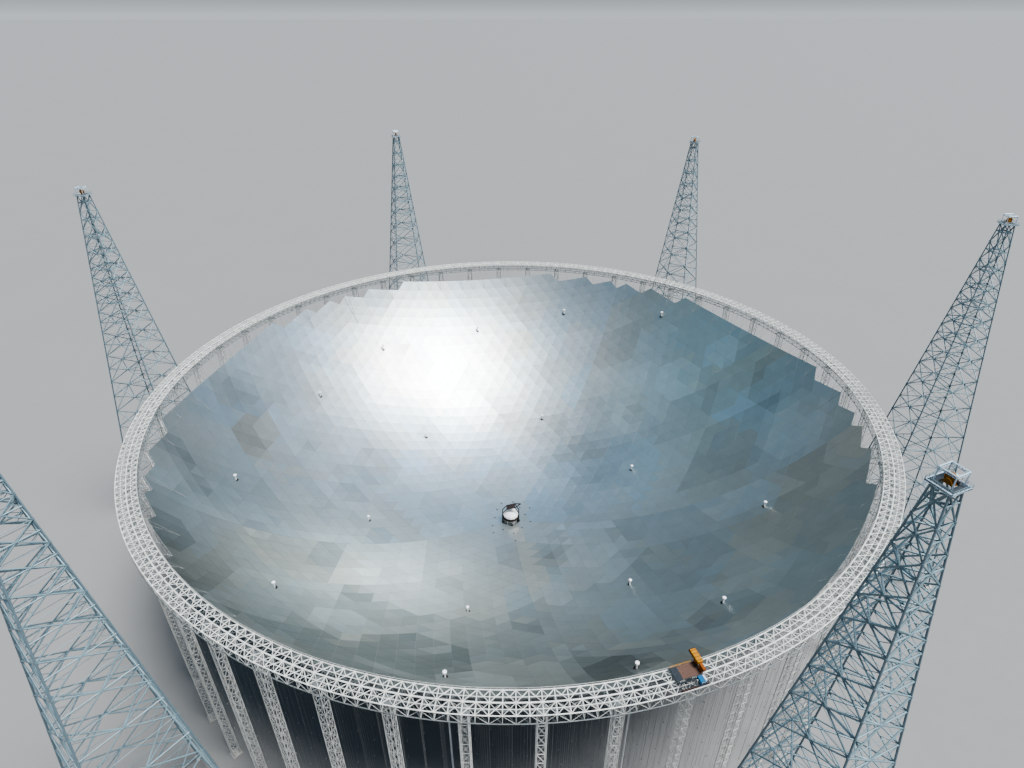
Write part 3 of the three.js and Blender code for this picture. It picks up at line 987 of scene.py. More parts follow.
@dataclass
class Bowl:
    """The reflector: a sphere's triangle grid with its panels, frames, net and ties."""

    radius: float = 300 * METRE
    bottom: float = 6 * METRE
    first_azimuth: float = 26.5
    rim_limit: float = 56.1
    opening_rise: float = 0.001 * METRE
    subdivisions: int = 6
    sectors: int = 5
    panel_gap: float = 0.1 * METRE
    panel_tilt: float = 0.04 * METRE
    sheet_thickness: float = 0.08 * METRE
    frame_drop: float = 0.2 * METRE
    frame_depth: float = 1.1 * METRE
    frame_bar: float = 0.12 * METRE
    net_drop: float = 1.7 * METRE
    net_cable: float = 0.14 * METRE
    tie_radius: float = 0.06 * METRE
    anchor_radius: float = 0.5 * METRE
    anchor_top_radius: float = 0.6 * anchor_radius
    anchor_height: float = 0.9 * METRE
    cover_radius: float = 0.8 * METRE
    cover_top_radius: float = 0.8 * cover_radius
    cover_proud: float = 0.15 * METRE
    # Where the second, third and fourth ring of nodes start, counted from the lowest node.
    ring_starts: tuple[int, int, int] = (5, 15, 30)
    cover_step: int = 3
    lots: tuple[Lots, ...] = (Lots(45, 0.055, 0.2), Lots(240, 0.04, 0.15), Lots(900, 0.01, 0.04))
    lot_stretches: tuple[float, ...] = (0.6, 1, 1.4)
    marks: int = 110
    mark_steps: tuple[float, ...] = (-0.15, -0.12, -0.09, 0.1, 0.16)
    mark_rows: tuple[int, int] = (1, 4)
    hexagon_share: float = 0.6
    tone: float = 0.58
    warmth: float = 0.5
    own_spread: float = 0.01
    # The bowl's side round this azimuth, nearest the camera, is made darker and warmer. The field named dust
    # below only sets how far the tone drops there.
    near_side_azimuth: float = -108.0
    near_side_start: float = 40 * METRE
    near_side_end: float = 190 * METRE
    near_side_narrowing: float = 0.6
    dust: float = 0.54
    near_side_warmth: float = 0.5
    rim_turn: float = 1.8
    rim_share: float = 0.8
    seed: int = 11
    nodes: list[Vector] = field(default_factory=list)

    @property
    def middle(self) -> Vector:
        """The middle of the sphere."""
        return Vector((0, 0, self.bottom + self.radius))

    def build(self, palette: Palette) -> None:
        """Model and dress the whole reflector.

        Args:
            palette: The materials.
        """
        grid = self.grid()
        self.nodes = [vertex.co.copy() for vertex in grid.data.vertices]
        self.build_panels(grid, palette)
        self.build_frames(grid, palette)
        self.build_net(grid, palette)
        self.build_ties(palette)
        self.build_node_covers(palette)
        discard(grid)

    def grid(self) -> Object:
        """Model the grid of triangles, one face a panel, facing up.

        Returns:
            The grid.
        """
        deselect_all()
        bpy.ops.mesh.primitive_ico_sphere_add(
            subdivisions=self.subdivisions,
            radius=self.radius,
            calc_uvs=True,
            location=self.middle,
            rotation=(0, 0, math.radians(self.first_azimuth)),
        )
        grid = settle(bpy.context.object)
        highest = self.middle.z - self.radius * math.cos(math.radians(self.rim_limit))
        lowest = self.bottom + self.opening_rise
        height = [vertex.co.z for vertex in grid.data.vertices]

        def outside(face: MeshPolygon) -> bool:
            """Say whether a face is beyond the rim or over the opening."""
            heights = [height[index] for index in face.vertices]
            return max(heights) > highest or min(heights) < lowest

        edit_faces(grid, outside)
        bpy.ops.mesh.delete(type="FACE")
        bpy.ops.mesh.select_all(action="SELECT")
        bpy.ops.mesh.flip_normals()
        leave_edit()
        return grid

    def sheets(self, grid: Object, name: str) -> Object:
        """Part a copy of the grid into separate triangles with gaps between them.

        Args:
            grid: The grid.
            name: The copy's name.

        Returns:
            The separate triangles.
        """
        sheets = copy_at(grid, Matrix.Identity(4), name)
        edit_whole(sheets)
        bpy.ops.mesh.inset(thickness=self.panel_gap / 2, use_individual=True)
        bpy.ops.mesh.select_all(action="INVERT")
        bpy.ops.mesh.delete(type="FACE")
        leave_edit()
        return sheets

    def lower(self, piece: Object, drop: float) -> None:
        """Move a piece out from the bowl's middle, along the sphere's radius.

        Args:
            piece: The object to move.
            drop: How far it moves.
        """
        growth = 1 + drop / self.radius
        edit_whole(piece)
        bpy.ops.transform.resize(value=(growth, growth, growth), center_override=self.middle)
        leave_edit()

    def wire(self, piece: Object, thickness: float) -> None:
        """Turn a piece's edges into bars."""
        apply_modifier(piece, "WIREFRAME", thickness=thickness, use_replace=True, use_boundary=True)

    def build_panels(self, grid: Object, palette: Palette) -> None:
        """Model the panels' sheets and give each one its tone.

        Args:
            grid: The grid.
            palette: The materials.
        """
        panels = self.sheets(grid, "reflector_panels")
        chance = np.random.default_rng(self.seed)
        for vertex in panels.data.vertices:
            outwards = (vertex.co - self.middle).normalized()
            vertex.co += outwards * chance.uniform(0, self.panel_tilt)
        self.tint(panels, chance)
        apply_modifier(panels, "SOLIDIFY", thickness=self.sheet_thickness, offset=-1)
        nodes = ["reflector_cap"]
        for ring in ("inner", "outer"):
            nodes += [f"reflector_{ring}_{number + 1}" for number in range(self.sectors)]
        hand_over(painted(panels, palette.panel), Slot.PANEL, *nodes)

    def tint(self, panels: Object, chance: np.random.Generator) -> None:
        """Give every panel a tone and a warmth, alike in patches that follow the grid.

        Args:
            panels: The panels, whose faces get the two attributes.
            chance: The random numbers.
        """
        places = self.grid_places(panels)
        # Panels on the side nearest the camera get a lower tone and more warmth.
        darkened = self.near_side_share(panels)
        tone = chance.normal(self.tone, self.own_spread, len(places)) - self.dust * darkened
        warmth = self.warmth + self.near_side_warmth * darkened
        for lots in self.lots:
            lot = self.nearest_lot(places, lots.count, chance)
            tone += chance.normal(0, lots.tone_spread, lots.count)[lot]
            warmth += chance.normal(0, lots.warmth_spread, lots.count)[lot]
        for _ in range(self.marks):
            tone[self.marked(places, chance)] += chance.choice(self.mark_steps)
        for name, values in (("tone", tone), ("warmth", warmth)):
            attribute = panels.data.attributes.new(name, "FLOAT", "FACE")
            attribute.data.foreach_set("value", np.clip(values, 0, 1).astype(np.float32))

    def near_side_share(self, panels: Object) -> np.ndarray:
        """Work out how far each panel lies within one side of the bowl, which is made darker and warmer.

        Args:
            panels: The panels.

        Returns:
            How far each panel lies within that side, from 0 to 1.
        """
        centres = np.empty(len(panels.data.polygons) * 3)
        panels.data.polygons.foreach_get("center", centres)
        along = centres.reshape(-1, 3) @ np.array(polar(1, self.near_side_azimuth, 0))
        aside = centres.reshape(-1, 3) @ np.array(polar(1, self.near_side_azimuth + 90, 0))
        inside = along - np.abs(aside) * self.near_side_narrowing
        return np.clip((inside - self.near_side_start) / (self.near_side_end - self.near_side_start), 0, 1)

    def grid_places(self, panels: Object) -> np.ndarray:
        """Find where each panel lies in its sector's grid.

        Args:
            panels: The separate panels, with the grid's own map.

        Returns:
            Each panel's middle along the grid's three directions, counted in rows.
        """
        corners = np.empty(len(panels.data.loops) * 2)
        panels.data.uv_layers.active.data.foreach_get("uv", corners)
        middles = corners.reshape(-1, 3, 2).mean(axis=1)
        turns = np.radians(GRID_TURNS)
        return middles @ np.stack([np.cos(turns), np.sin(turns)]) * GRID_ROWS / MAP_HEIGHT

    def nearest_lot(self, places: np.ndarray, count: int, chance: np.random.Generator) -> np.ndarray:
        """Share the panels out among lots whose edges run along the grid.

        Args:
            places: The panels' places in the grid.
            count: How many lots there are.
            chance: The random numbers.

        Returns:
            The number of each panel's lot.
        """
        seeds = places[chance.integers(0, len(places), count)]
        stretch = chance.choice(self.lot_stretches, (count, 3))
        gaps = np.abs(places[:, None, :] - seeds[None, :, :]) * stretch[None, :, :]
        return np.argmin(gaps.max(axis=2), axis=1)

    def marked(self, places: np.ndarray, chance: np.random.Generator) -> np.ndarray:
        """Choose a hexagon or a rhombus of panels round one node of the grid.

        Args:
            places: The panels' places in the grid.
            chance: The random numbers.

        Returns:
            Which panels are in it.
        """
        node = np.round(places[chance.integers(0, len(places))])
        # A node's row in the middle direction is the sum of its rows in the other two.
        node[1] = node[0] + node[2]
        directions = [0, 1, 2] if chance.random() < self.hexagon_share else [0, 2]
        gaps = np.abs(places - node)[:, directions]
        return gaps.max(axis=1) < chance.integers(*self.mark_rows)

    def build_frames(self, grid: Object, palette: Palette) -> None:
        """Model the bars behind each panel, a flat pyramid, in one sector and copy it.

        Args:
            grid: The grid.
            palette: The materials.
        """
        frames = self.sheets(grid, "frames")
        span = 360 / self.sectors

        def elsewhere(face: MeshPolygon) -> bool:
            """Say whether a face is outside the first sector."""
            turn = azimuth_of(face.center) - self.first_azimuth
            return abs((turn + 180) % 360 - 180) > span / 2

        edit_faces(frames, elsewhere)
        bpy.ops.mesh.delete(type="FACE")
        leave_edit()
        self.lower(frames, self.frame_drop)
        edit_whole(frames)
        bpy.ops.mesh.poke(offset=-self.frame_depth)
        leave_edit()
        self.wire(frames, self.frame_bar)
        painted(frames, palette.frame)
        for number in range(self.sectors):
            turned = copy_at(frames, turn_to(number * span), f"panel_frames_{number + 1}")
            hand_over(turned, Slot.WHITE)
        discard(frames)

    def build_net(self, grid: Object, palette: Palette) -> None:
        """Model the cable net under the panels.

        Args:
            grid: The grid, whose edges the cables follow.
            palette: The materials.
        """
        net = copy_at(grid, Matrix.Identity(4), "cable_net")
        self.lower(net, self.net_drop)
        self.wire(net, self.net_cable)
        hand_over(painted(net, palette.rope), Slot.WHITE)

    def build_ties(self, palette: Palette) -> None:
        """Model the tie from each node of the net down to its anchor on the ground.

        Args:
            palette: The materials.
        """
        growth = 1 + self.net_drop / self.radius
        knots = [self.middle + (node - self.middle) * growth for node in self.nodes]
        feet = [Vector((knot.x, knot.y, 0)) for knot in knots]
        lift = UP * self.anchor_height / 2
        bars = [Bar(foot + lift, knot, self.tie_radius) for foot, knot in zip(feet, knots)]
        hand_over(painted(lattice("down_ties", bars, sides=3), palette.rope), Slot.WHITE)
        outline = [(self.anchor_radius, 0), (self.anchor_top_radius, self.anchor_height)]
        pattern = loft(outline, sides=5)
        anchors = repeated("tie_anchors", pattern, [Matrix.Translation(foot) for foot in feet])
        hand_over(painted(anchors, palette.concrete), Slot.WHITE)

    def build_node_covers(self, palette: Palette) -> None:
        """Model the dark caps on the grid's second ring of nodes and on some of the third.

        Args:
            palette: The materials.
        """
        nearest = sorted(self.nodes, key=lambda node: node.z)
        second, third, fourth = self.ring_starts
        covered = nearest[second:third] + nearest[third : fourth : self.cover_step]
        outline = [(self.cover_radius, -self.cover_proud), (self.cover_top_radius, self.cover_proud)]
        pattern = loft(outline, sides=8)
        covers = repeated("node_covers", pattern, [Matrix.Translation(node) for node in covered])
        hand_over(painted(covers, palette.dark), Slot.DARK)

    def rim_nodes(self) -> list[Vector]:
        """Find the grid's nodes along the rim, the outermost at each small turn.

        Returns:
            The nodes' places.
        """
        outermost: dict[int, Vector] = {}
        for node in self.nodes:
            turn = round(azimuth_of(node) / self.rim_turn)
            if turn not in outermost or node.z > outermost[turn].z:
                outermost[turn] = node
        highest = max(node.z for node in self.nodes)
        return [node for node in outermost.values() if node.z > highest * self.rim_share]


@dataclass
class Ring:
    """The ring truss, its columns and the ties from it to the bowl's rim."""

    radius: float = 255.9 * METRE
    width: float = 11 * METRE
    depth: float = 5.5 * METRE
    top: float = 146.2 * METRE
    segments: int = 10
    first_azimuth: float = 3.0
    # The angle that one bay of the truss takes up.
    bay: float = 1.2
    bays_per_segment: int = 30
    main_chord: float = 0.38 * METRE
    side_chord: float = 0.28 * METRE
    thin_chord: float = 0.18 * METRE
    top_chords: tuple[float, ...] = (-1, -0.45, 0, 0.5, 1)
    cross_bar: float = 0.24 * METRE
    slant_bar: float = 0.17 * METRE
    web_bar: float = 0.12 * METRE
    counter_bar: float = 0.11 * METRE
    lacing: float = 0.17 * METRE
    lacing_steps: int = 2
    ball: float = 0.46 * METRE
    rail_across: float = -1.04
    rail_height: float = 1.2 * METRE
    rail_bar: float = 0.07 * METRE
    rail_bays: int = 2
    column_width: float = 4 * METRE
    column_leg: float = 0.25 * METRE
    column_brace: float = 0.1 * METRE
    column_storeys: int = 20
    columns_per_segment: int = 5
    plate_side: float = column_width + 2.4 * column_leg
    plate_depth: float = 0.5 * METRE
    plate_drop: float = 1.2 * plate_depth
    pad_side: float = 5.6 * METRE
    pad_height: float = 0.8 * METRE
    tie_radius: float = 0.09 * METRE

    def node(self, across: float, level: Level, step: int) -> Vector:
        """Return a node of the truss, or a place between two chords.

        Args:
            across: -1, 0 or 1 for the inner, middle and outer chord.
            level: The layer.
            step: How many bays along it is.

        Returns:
            The node's place.
        """
        height = self.top if level is Level.TOP else self.top - self.depth
        return polar(self.radius + across * self.width / 2, step * self.bay, height)

    def bar(self, start: tuple[float, Level, int], end: tuple[float, Level, int], radius: float) -> Bar:
        """Return a bar between two nodes, each given as across, level and step."""
        return Bar(self.node(*start), self.node(*end), radius)

    def chord_radius(self, across: float) -> float:
        """Choose the radius of an upper chord, the middle one the stoutest.

        Args:
            across: The chord's place across the ring.

        Returns:
            The radius.
        """
        if across == 0:
            return self.main_chord
        return self.side_chord if abs(across) == 1 else self.thin_chord

    def top_bars(self, step: int) -> list[Bar]:
        """Return a bay's bars in the upper layer: chords, cross bars and diagonals.

        Args:
            step: The bay, 0 or 1 of a pair.

        Returns:
            The bars.
        """
        top = Level.TOP
        bars = []
        for across in self.top_chords:
            bars.append(self.bar((across, top, step), (across, top, step + 1), self.chord_radius(across)))
        for near, far in ((-1, 0), (0, 1)):
            bars.append(self.bar((near, top, step), (far, top, step), self.cross_bar))
            first, second = (near, far) if step == 0 else (far, near)
            bars.append(self.bar((first, top, step), (second, top, step + 1), self.slant_bar))
        bars.append(self.bar((1 - step, top, step), (step, top, step + 1), self.counter_bar))
        return bars

    def web_bars(self, step: int, sides: Sequence[int]) -> list[Bar]:
        """Return a bay's uprights and the diagonals between the layers.

        Args:
            step: The bay, 0 or 1 of a pair.
            sides: The chords that they stand under.

        Returns:
            The bars.
        """
        bars = []
        start, end = (Level.TOP, Level.BOTTOM) if step == 0 else (Level.BOTTOM, Level.TOP)
        for across in sides:
            foot = (across, Level.BOTTOM, step)
            bars.append(self.bar((across, Level.TOP, step), foot, self.web_bar))
            bars.append(self.bar((across, start, step), (across, end, step + 1), self.web_bar))
            if across != 0:
                bars.append(self.bar((0, Level.TOP, step), foot, self.web_bar))
        return bars

    def bottom_bars(self, step: int) -> list[Bar]:
        """Return a bay's bars in the lower layer.

        Args:
            step: The bay, 0 or 1 of a pair.

        Returns:
            The bars.
        """
        low = Level.BOTTOM
        bars = []
        for across in (-1, 0, 1):
            bars.append(self.bar((across, low, step), (across, low, step + 1), self.side_chord))
        for near, far in ((-1, 0), (0, 1)):
            bars.append(self.bar((near, low, step), (far, low, step), self.slant_bar))
            bars.append(self.bar((near, low, step), (far, low, step + 1), self.web_bar))
        return bars

    def edge_bars(self, step: int) -> list[Bar]:
        """Return a bay's close lacing along the inner side, with the railing beside it.

        Args:
            step: The bay, 0 or 1 of a pair.

        Returns:
            The bars.
        """
        inner, second, edge = (
            (self.node(across, Level.TOP, step), self.node(across, Level.TOP, step + 1))
            for across in (*self.top_chords[:2], self.rail_across)
        )
        bars = zigzag(inner, second, self.lacing_steps, self.lacing)
        return bars + railing(edge, self.rail_height, self.rail_bar, self.rail_bays, rails=(1,))

    def truss_segment(self, palette: Palette) -> Object:
        """Model one segment of the truss from azimuth 0 on.

        Args:
            palette: The materials.

        Returns:
            The segment.
        """

        def bays(bars_of: Callable[[int], list[Bar]], sides: int, paint: Material) -> Object:
            """Build the bars of a pair of bays as one painted part."""
            return painted(lattice("bays", bars_of(0) + bars_of(1), sides), paint)

        nodes = [self.node(across, Level.TOP, step) for step in (0, 1) for across in (-1, 0, 1)]
        parts = [
            bays(self.top_bars, 5, palette.white),
            bays(lambda step: self.web_bars(step, (0, 1)), 4, palette.white),
            bays(self.edge_bars, 4, palette.white),
            painted(joints("balls", nodes, self.ball), palette.white),
            # The inner web and the lower layer take the white steel's darker copy, as painted shade.
            bays(lambda step: self.web_bars(step, (-1,)), 4, palette.shade),
            bays(self.bottom_bars, 5, palette.shade),
        ]
        turns = [turn_to(2 * self.bay * index) for index in range(self.bays_per_segment // 2)]
        return repeated("segment", join("pair", parts), turns)

    def column(self, palette: Palette) -> Object:
        """Model one column at azimuth 0.

        Args:
            palette: The materials.

        Returns:
            The column, from its pad to its head plate.
        """
        plate_bottom = self.top - self.depth - self.plate_drop
        foot = self.pad_height / 2
        out = Vector((self.radius, 0, 0))
        legs = [corner + out for corner in square_of(self.column_width, foot)]
        height = plate_bottom - foot
        storey = UP * height / self.column_storeys
        bars = [Bar(leg, leg + UP * height, self.column_leg) for leg in legs]
        for number in range(self.column_storeys):
            low, high = storey * number, storey * (number + 1)
            bars += loop_of([leg + high for leg in legs], self.column_brace)
            for first, second in sides_of(legs):
                bars.append(Bar(first + low, second + high, self.column_brace))
                bars.append(Bar(second + low, first + high, self.column_brace))
        size = (self.plate_side, self.plate_side, self.plate_depth)
        plate = block(size, (self.radius, 0, plate_bottom + self.plate_depth / 2), Edge.PLATE)
        frame = painted(lattice("legs", bars, sides=4), palette.white)
        # The head plate takes the same darker copy of the white steel, as painted shade.
        return join("column", [frame, painted(plate, palette.shade)])

    def build(self, palette: Palette, rim: Sequence[Vector]) -> None:
        """Model and dress the ring with all that carries and joins it.

        Args:
            palette: The materials.
            rim: The bowl's nodes along its rim.
        """
        segment = self.truss_segment(palette)
        span = 360 / self.segments
        count = self.columns_per_segment
        turns = [turn_to(span * (index + 0.5) / count) for index in range(count)]
        columns = repeated("columns", self.column(palette), turns)
        size = (self.pad_side, self.pad_side, self.pad_height)
        pad = block(size, (self.radius, 0, self.pad_height / 2), Edge.CASING)
        pads = painted(repeated("pads", pad, turns), palette.concrete)
        for number in range(self.segments):
            turn = turn_to(self.first_azimuth + number * span)
            truss = copy_at(segment, turn, f"ring_truss_{number + 1}")
            hand_over(truss, Slot.WHITE, f"ring_segment_{number + 1}")
            hand_over(copy_at(columns, turn, f"ring_columns_{number + 1}"), Slot.WHITE)
            hand_over(copy_at(pads, turn, f"column_pads_{number + 1}"), Slot.WHITE)
        for pattern in (segment, columns, pads):
            discard(pattern)
        self.build_ties(palette, rim)

    def build_ties(self, palette: Palette, rim: Sequence[Vector]) -> None:
        """Model the forked ties from the ring's inner chord to the bowl's rim.

        Args:
            palette: The materials.
            rim: The bowl's nodes along its rim.
        """
        bars = []
        for node in rim:
            for side in (-self.bay / 2, self.bay / 2):
                azimuth = azimuth_of(node) + side
                place = polar(self.radius - self.width / 2, azimuth, self.top - self.depth)
                bars.append(Bar(node, place, self.tie_radius))
        hand_over(painted(lattice("rim_ties", bars, sides=4), palette.rope), Slot.WHITE)


@dataclass
class Tower:
    """A tapering lattice tower with its platform, portal and pulley."""

    circle: float = 300 * METRE
    count: int = 6
    first_azimuth: float = 53.1
    top: float = 275.2 * METRE
    top_side: float = 5.2 * METRE
    taper: float = 0.2
    panel_share: float = 0.7
    least_panel: float = 12 * METRE
    leg_low: float = 0.56 * METRE
    leg_high: float = 0.36 * METRE
    collar_share: float = 1.35
    belt: float = 0.36 * METRE
    brace: float = 0.36 * METRE
    stay: float = 0.15 * METRE
    diaphragm: float = 0.4 * METRE
    wide_panel: float = 12 * METRE
    thinning: float = 0.85
    footing_side: float = 4.4 * METRE
    footing_height: float = 1.2 * METRE
    platform_side: float = 8 * METRE
    platform_depth: float = 0.5 * METRE
    platform_rim: float = 2.2 * METRE
    edge_beam: float = 0.4 * METRE
    edge_depth: float = 0.7 * METRE
    edge_lip: float = 0.12 * METRE
    portal_side: float = 5.04 * METRE
    portal_height: float = 5 * METRE
    portal_low: float = 0.8 * portal_height
    portal_bar: float = 0.22 * METRE
    portal_rail: float = 0.6 * portal_bar
    portal_lacing: float = 0.8 * portal_rail
    portal_lacing_steps: int = 6
    rail_height: float = 1.2 * METRE
    rail_bar: float = 0.07 * METRE
    rail_bays: int = 5
    box_size: Point = (1.6 * METRE, 0.9 * METRE, 1.5 * METRE)
    box_place: float = 0.39 * platform_side
    wheel_radius: float = 1.6 * METRE
    wheel_width: float = 0.9 * METRE
    # One half of the wheel's outline, as shares of its radius and of half its width.
    wheel_outline: Outline = (
        (0.3, 1.25), (0.3, 0.8), (0.7, 0.8), (0.7, 1), (1, 1), (1, 0.7), (0.84, 0.3),
    )
    axle_height: float = 1.85 * METRE
    cheek_size: Point = (3.6 * METRE, 0.35 * METRE, 0.9 * axle_height)
    cheek_place: float = 0.55 * wheel_width + cheek_size[1] / 2
    cheek_narrowing: float = 0.35
    drive_size: Point = (1.1 * METRE, 1 * METRE, 1.1 * METRE)
    drive_place: tuple[float, float] = (1.2 * METRE, 1.3 * METRE)

    @property
    def deck(self) -> float:
        """The height of the platform's upper face."""
        return self.top + REST_GAP + self.platform_depth

    def side(self, height: float) -> float:
        """Return the distance between the legs at a height."""
        return self.top_side + self.taper * (self.top - height)

    def corners(self, height: float) -> list[Vector]:
        """Return the four legs' places at a height."""
        return square_of(self.side(height), height)

    def levels(self) -> list[float]:
        """Work out the heights between the panels, closer together as the tower narrows.

        Returns:
            The heights, from the footings to the top.
        """
        levels = [0.0]
        while levels[-1] < self.top:
            step = max(self.panel_share * self.side(levels[-1]), self.least_panel)
            levels.append(levels[-1] + step)
        stretch = self.top / levels[-1]
        return [max(level * stretch, self.footing_height) for level in levels]

    def leg_radius(self, height: float) -> float:
        """Return the legs' radius at a height."""
        return self.leg_low + (self.leg_high - self.leg_low) * height / self.top

    def panel_bars(self, low: float, high: float) -> list[Bar]:
        """Return the bracing of the four sides between two levels.

        Args:
            low: The lower level.
            high: The upper level.

        Returns:
            The bars.
        """
        bars = []
        crossings = []
        wide = self.side(low) > self.wide_panel
        thinning = 1 if wide else self.thinning
        for lower, upper in zip(sides_of(self.corners(low)), sides_of(self.corners(high))):
            lengths = [(end - start).length for start, end in (lower, upper)]
            share = lengths[0] / sum(lengths)
            crossing = lower[0].lerp(upper[1], share)
            crossings.append(crossing)
            ends = [foot.lerp(head, share) for foot, head in zip(lower, upper)]
            bars += [Bar(foot, head, self.brace * thinning) for foot, head in zip(lower, upper[::-1])]
            bars.append(Bar(*ends, self.belt * thinning))
            if wide:
                for foot, head, end in zip(lower, upper, ends):
                    bars += [Bar(corner.lerp(crossing, 0.5), end, self.stay) for corner in (foot, head)]
        return bars + loop_of(crossings, self.diaphragm)

    def mast(self, palette: Palette) -> Object:
        """Model the lattice from the footings to the head.

        Args:
            palette: The materials.

        Returns:
            The mast at the origin.
        """
        levels = self.levels()
        braces = []
        legs = []
        for low, high in zip(levels, levels[1:]):
            braces += self.panel_bars(low, high)
            braces += loop_of(self.corners(min(high, self.top - self.belt)), self.stay)
            radius = self.leg_radius(low)
            lowest = low <= self.footing_height
            start = self.footing_height / 2 if lowest else low
            for foot, head in zip(self.corners(start), self.corners(high)):
                legs.append(Bar(foot, head, radius))
                collar = (head - foot).normalized() * radius
                if not lowest:
                    legs.append(Bar(foot - collar, foot + collar, radius * self.collar_share))
        bracing = painted(lattice("braces", braces, sides=5), palette.blue)
        # The legs take the darker blue, in part painted shade.
        return join("mast", [bracing, painted(lattice("legs", legs, sides=8), palette.shaded_leg_blue)])

    def footings(self) -> Object:
        """Model the concrete blocks under the legs.

        Returns:
            The four blocks.
        """
        size = (self.footing_side, self.footing_side, self.footing_height)
        corners = [corner + UP * self.footing_height / 2 for corner in self.corners(0)]
        return join("footings", [block(size, tuple(corner), Edge.BLOCK) for corner in corners])

    def platform(self, palette: Palette) -> Object:
        """Model the platform with its railing, the box on it and the portal.

        Args:
            palette: The materials.

        Returns:
            The head of the tower.
        """
        side = self.platform_side
        between = side - 2 * self.platform_rim
        floor = border(side, between, (self.platform_rim, self.platform_depth), self.deck, Edge.DECK)
        section = (self.edge_beam, self.edge_depth)
        rim = border(side, side, section, self.deck + self.edge_lip, Edge.SHEET)
        middle = (0, self.box_place, self.deck + self.box_size[2] / 2)
        rails = []
        for ends in sides_of(square_of(side - 2 * self.rail_bar, self.deck)):
            rails += railing(ends, self.rail_height, self.rail_bar, self.rail_bays)
        parts = [
            painted(lattice("portal", self.portal_bars(), sides=4), palette.pale_blue),
            painted(floor, palette.grating),
            painted(rim, palette.pale_blue),
            painted(lattice("railing", rails, sides=4), palette.blue),
            painted(block(self.box_size, middle, Edge.DECK), palette.white),
        ]
        return join("head", parts)

    def portal_bars(self) -> list[Bar]:
        """Place the bars of the braced frame that stands on the platform.

        Returns:
            The bars.
        """
        feet = square_of(self.portal_side, self.deck)
        top = [foot + UP * (self.portal_height - self.portal_bar) for foot in feet]
        low = [foot + UP * self.portal_low for foot in feet]
        bars = [Bar(foot, head, self.portal_bar) for foot, head in zip(feet, top)]
        bars += loop_of(top, self.portal_bar) + loop_of(low, self.portal_rail)
        for lower, upper in zip(sides_of(low), sides_of(top)):
            bars += zigzag(lower, upper, self.portal_lacing_steps, self.portal_lacing)
        return bars

    def pulley(self, palette: Palette) -> Object:
        """Model the grooved wheel between its cheeks, with its drive.

        Args:
            palette: The materials.

        Returns:
            The pulley.
        """
        deck = self.deck + REST_GAP
        half = [(x * self.wheel_radius, y * self.wheel_width / 2) for x, y in self.wheel_outline]
        lower = [(radius, -height) for radius, height in half]
        wheel = loft([*lower, *half[::-1]], sides=28)
        upright = Matrix.Rotation(math.pi / 2, 4, "X")
        wheel.data.transform(Matrix.Translation((0, 0, deck + self.axle_height)) @ upright)
        parts = [painted(smooth(wheel, TURNED_CREASE), palette.brown)]
        for side in (-1, 1):
            middle = (0, side * self.cheek_place, deck + self.cheek_size[2] / 2)
            cheek = narrowed(block(self.cheek_size, middle, Edge.PLATE), self.cheek_narrowing)
            parts.append(painted(cheek, palette.brown))
        middle = (*self.drive_place, deck + self.drive_size[2] / 2)
        parts.append(painted(block(self.drive_size, middle, Edge.CASING), palette.dark))
        return join("wheel", parts)

    def build(self, palette: Palette) -> None:
        """Model one tower and copy it round the ring.

        Args:
            palette: The materials.
        """
        patterns = (
            (self.mast(palette), "tower_mast", Slot.BLUE, ["tower"]),
            (painted(self.footings(), palette.concrete), "tower_footings", Slot.BLUE, []),
            (self.platform(palette), "tower_platform", Slot.WHITE, ["tower_head"]),
            (self.pulley(palette), "tower_wheel", Slot.ORANGE, ["tower_pulley"]),
        )
        for number in range(1, self.count + 1):
            azimuth = self.first_azimuth + (number - 1) * 360 / self.count
            place = turn_to(azimuth) @ Matrix.Translation((self.circle, 0, 0))
            for pattern, name, slot, nodes in patterns:
                piece = copy_at(pattern, place, f"{name}_{number}")
                hand_over(piece, slot, *(f"{node}_{number}" for node in nodes))
        for pattern, *_ in patterns:
            discard(pattern)


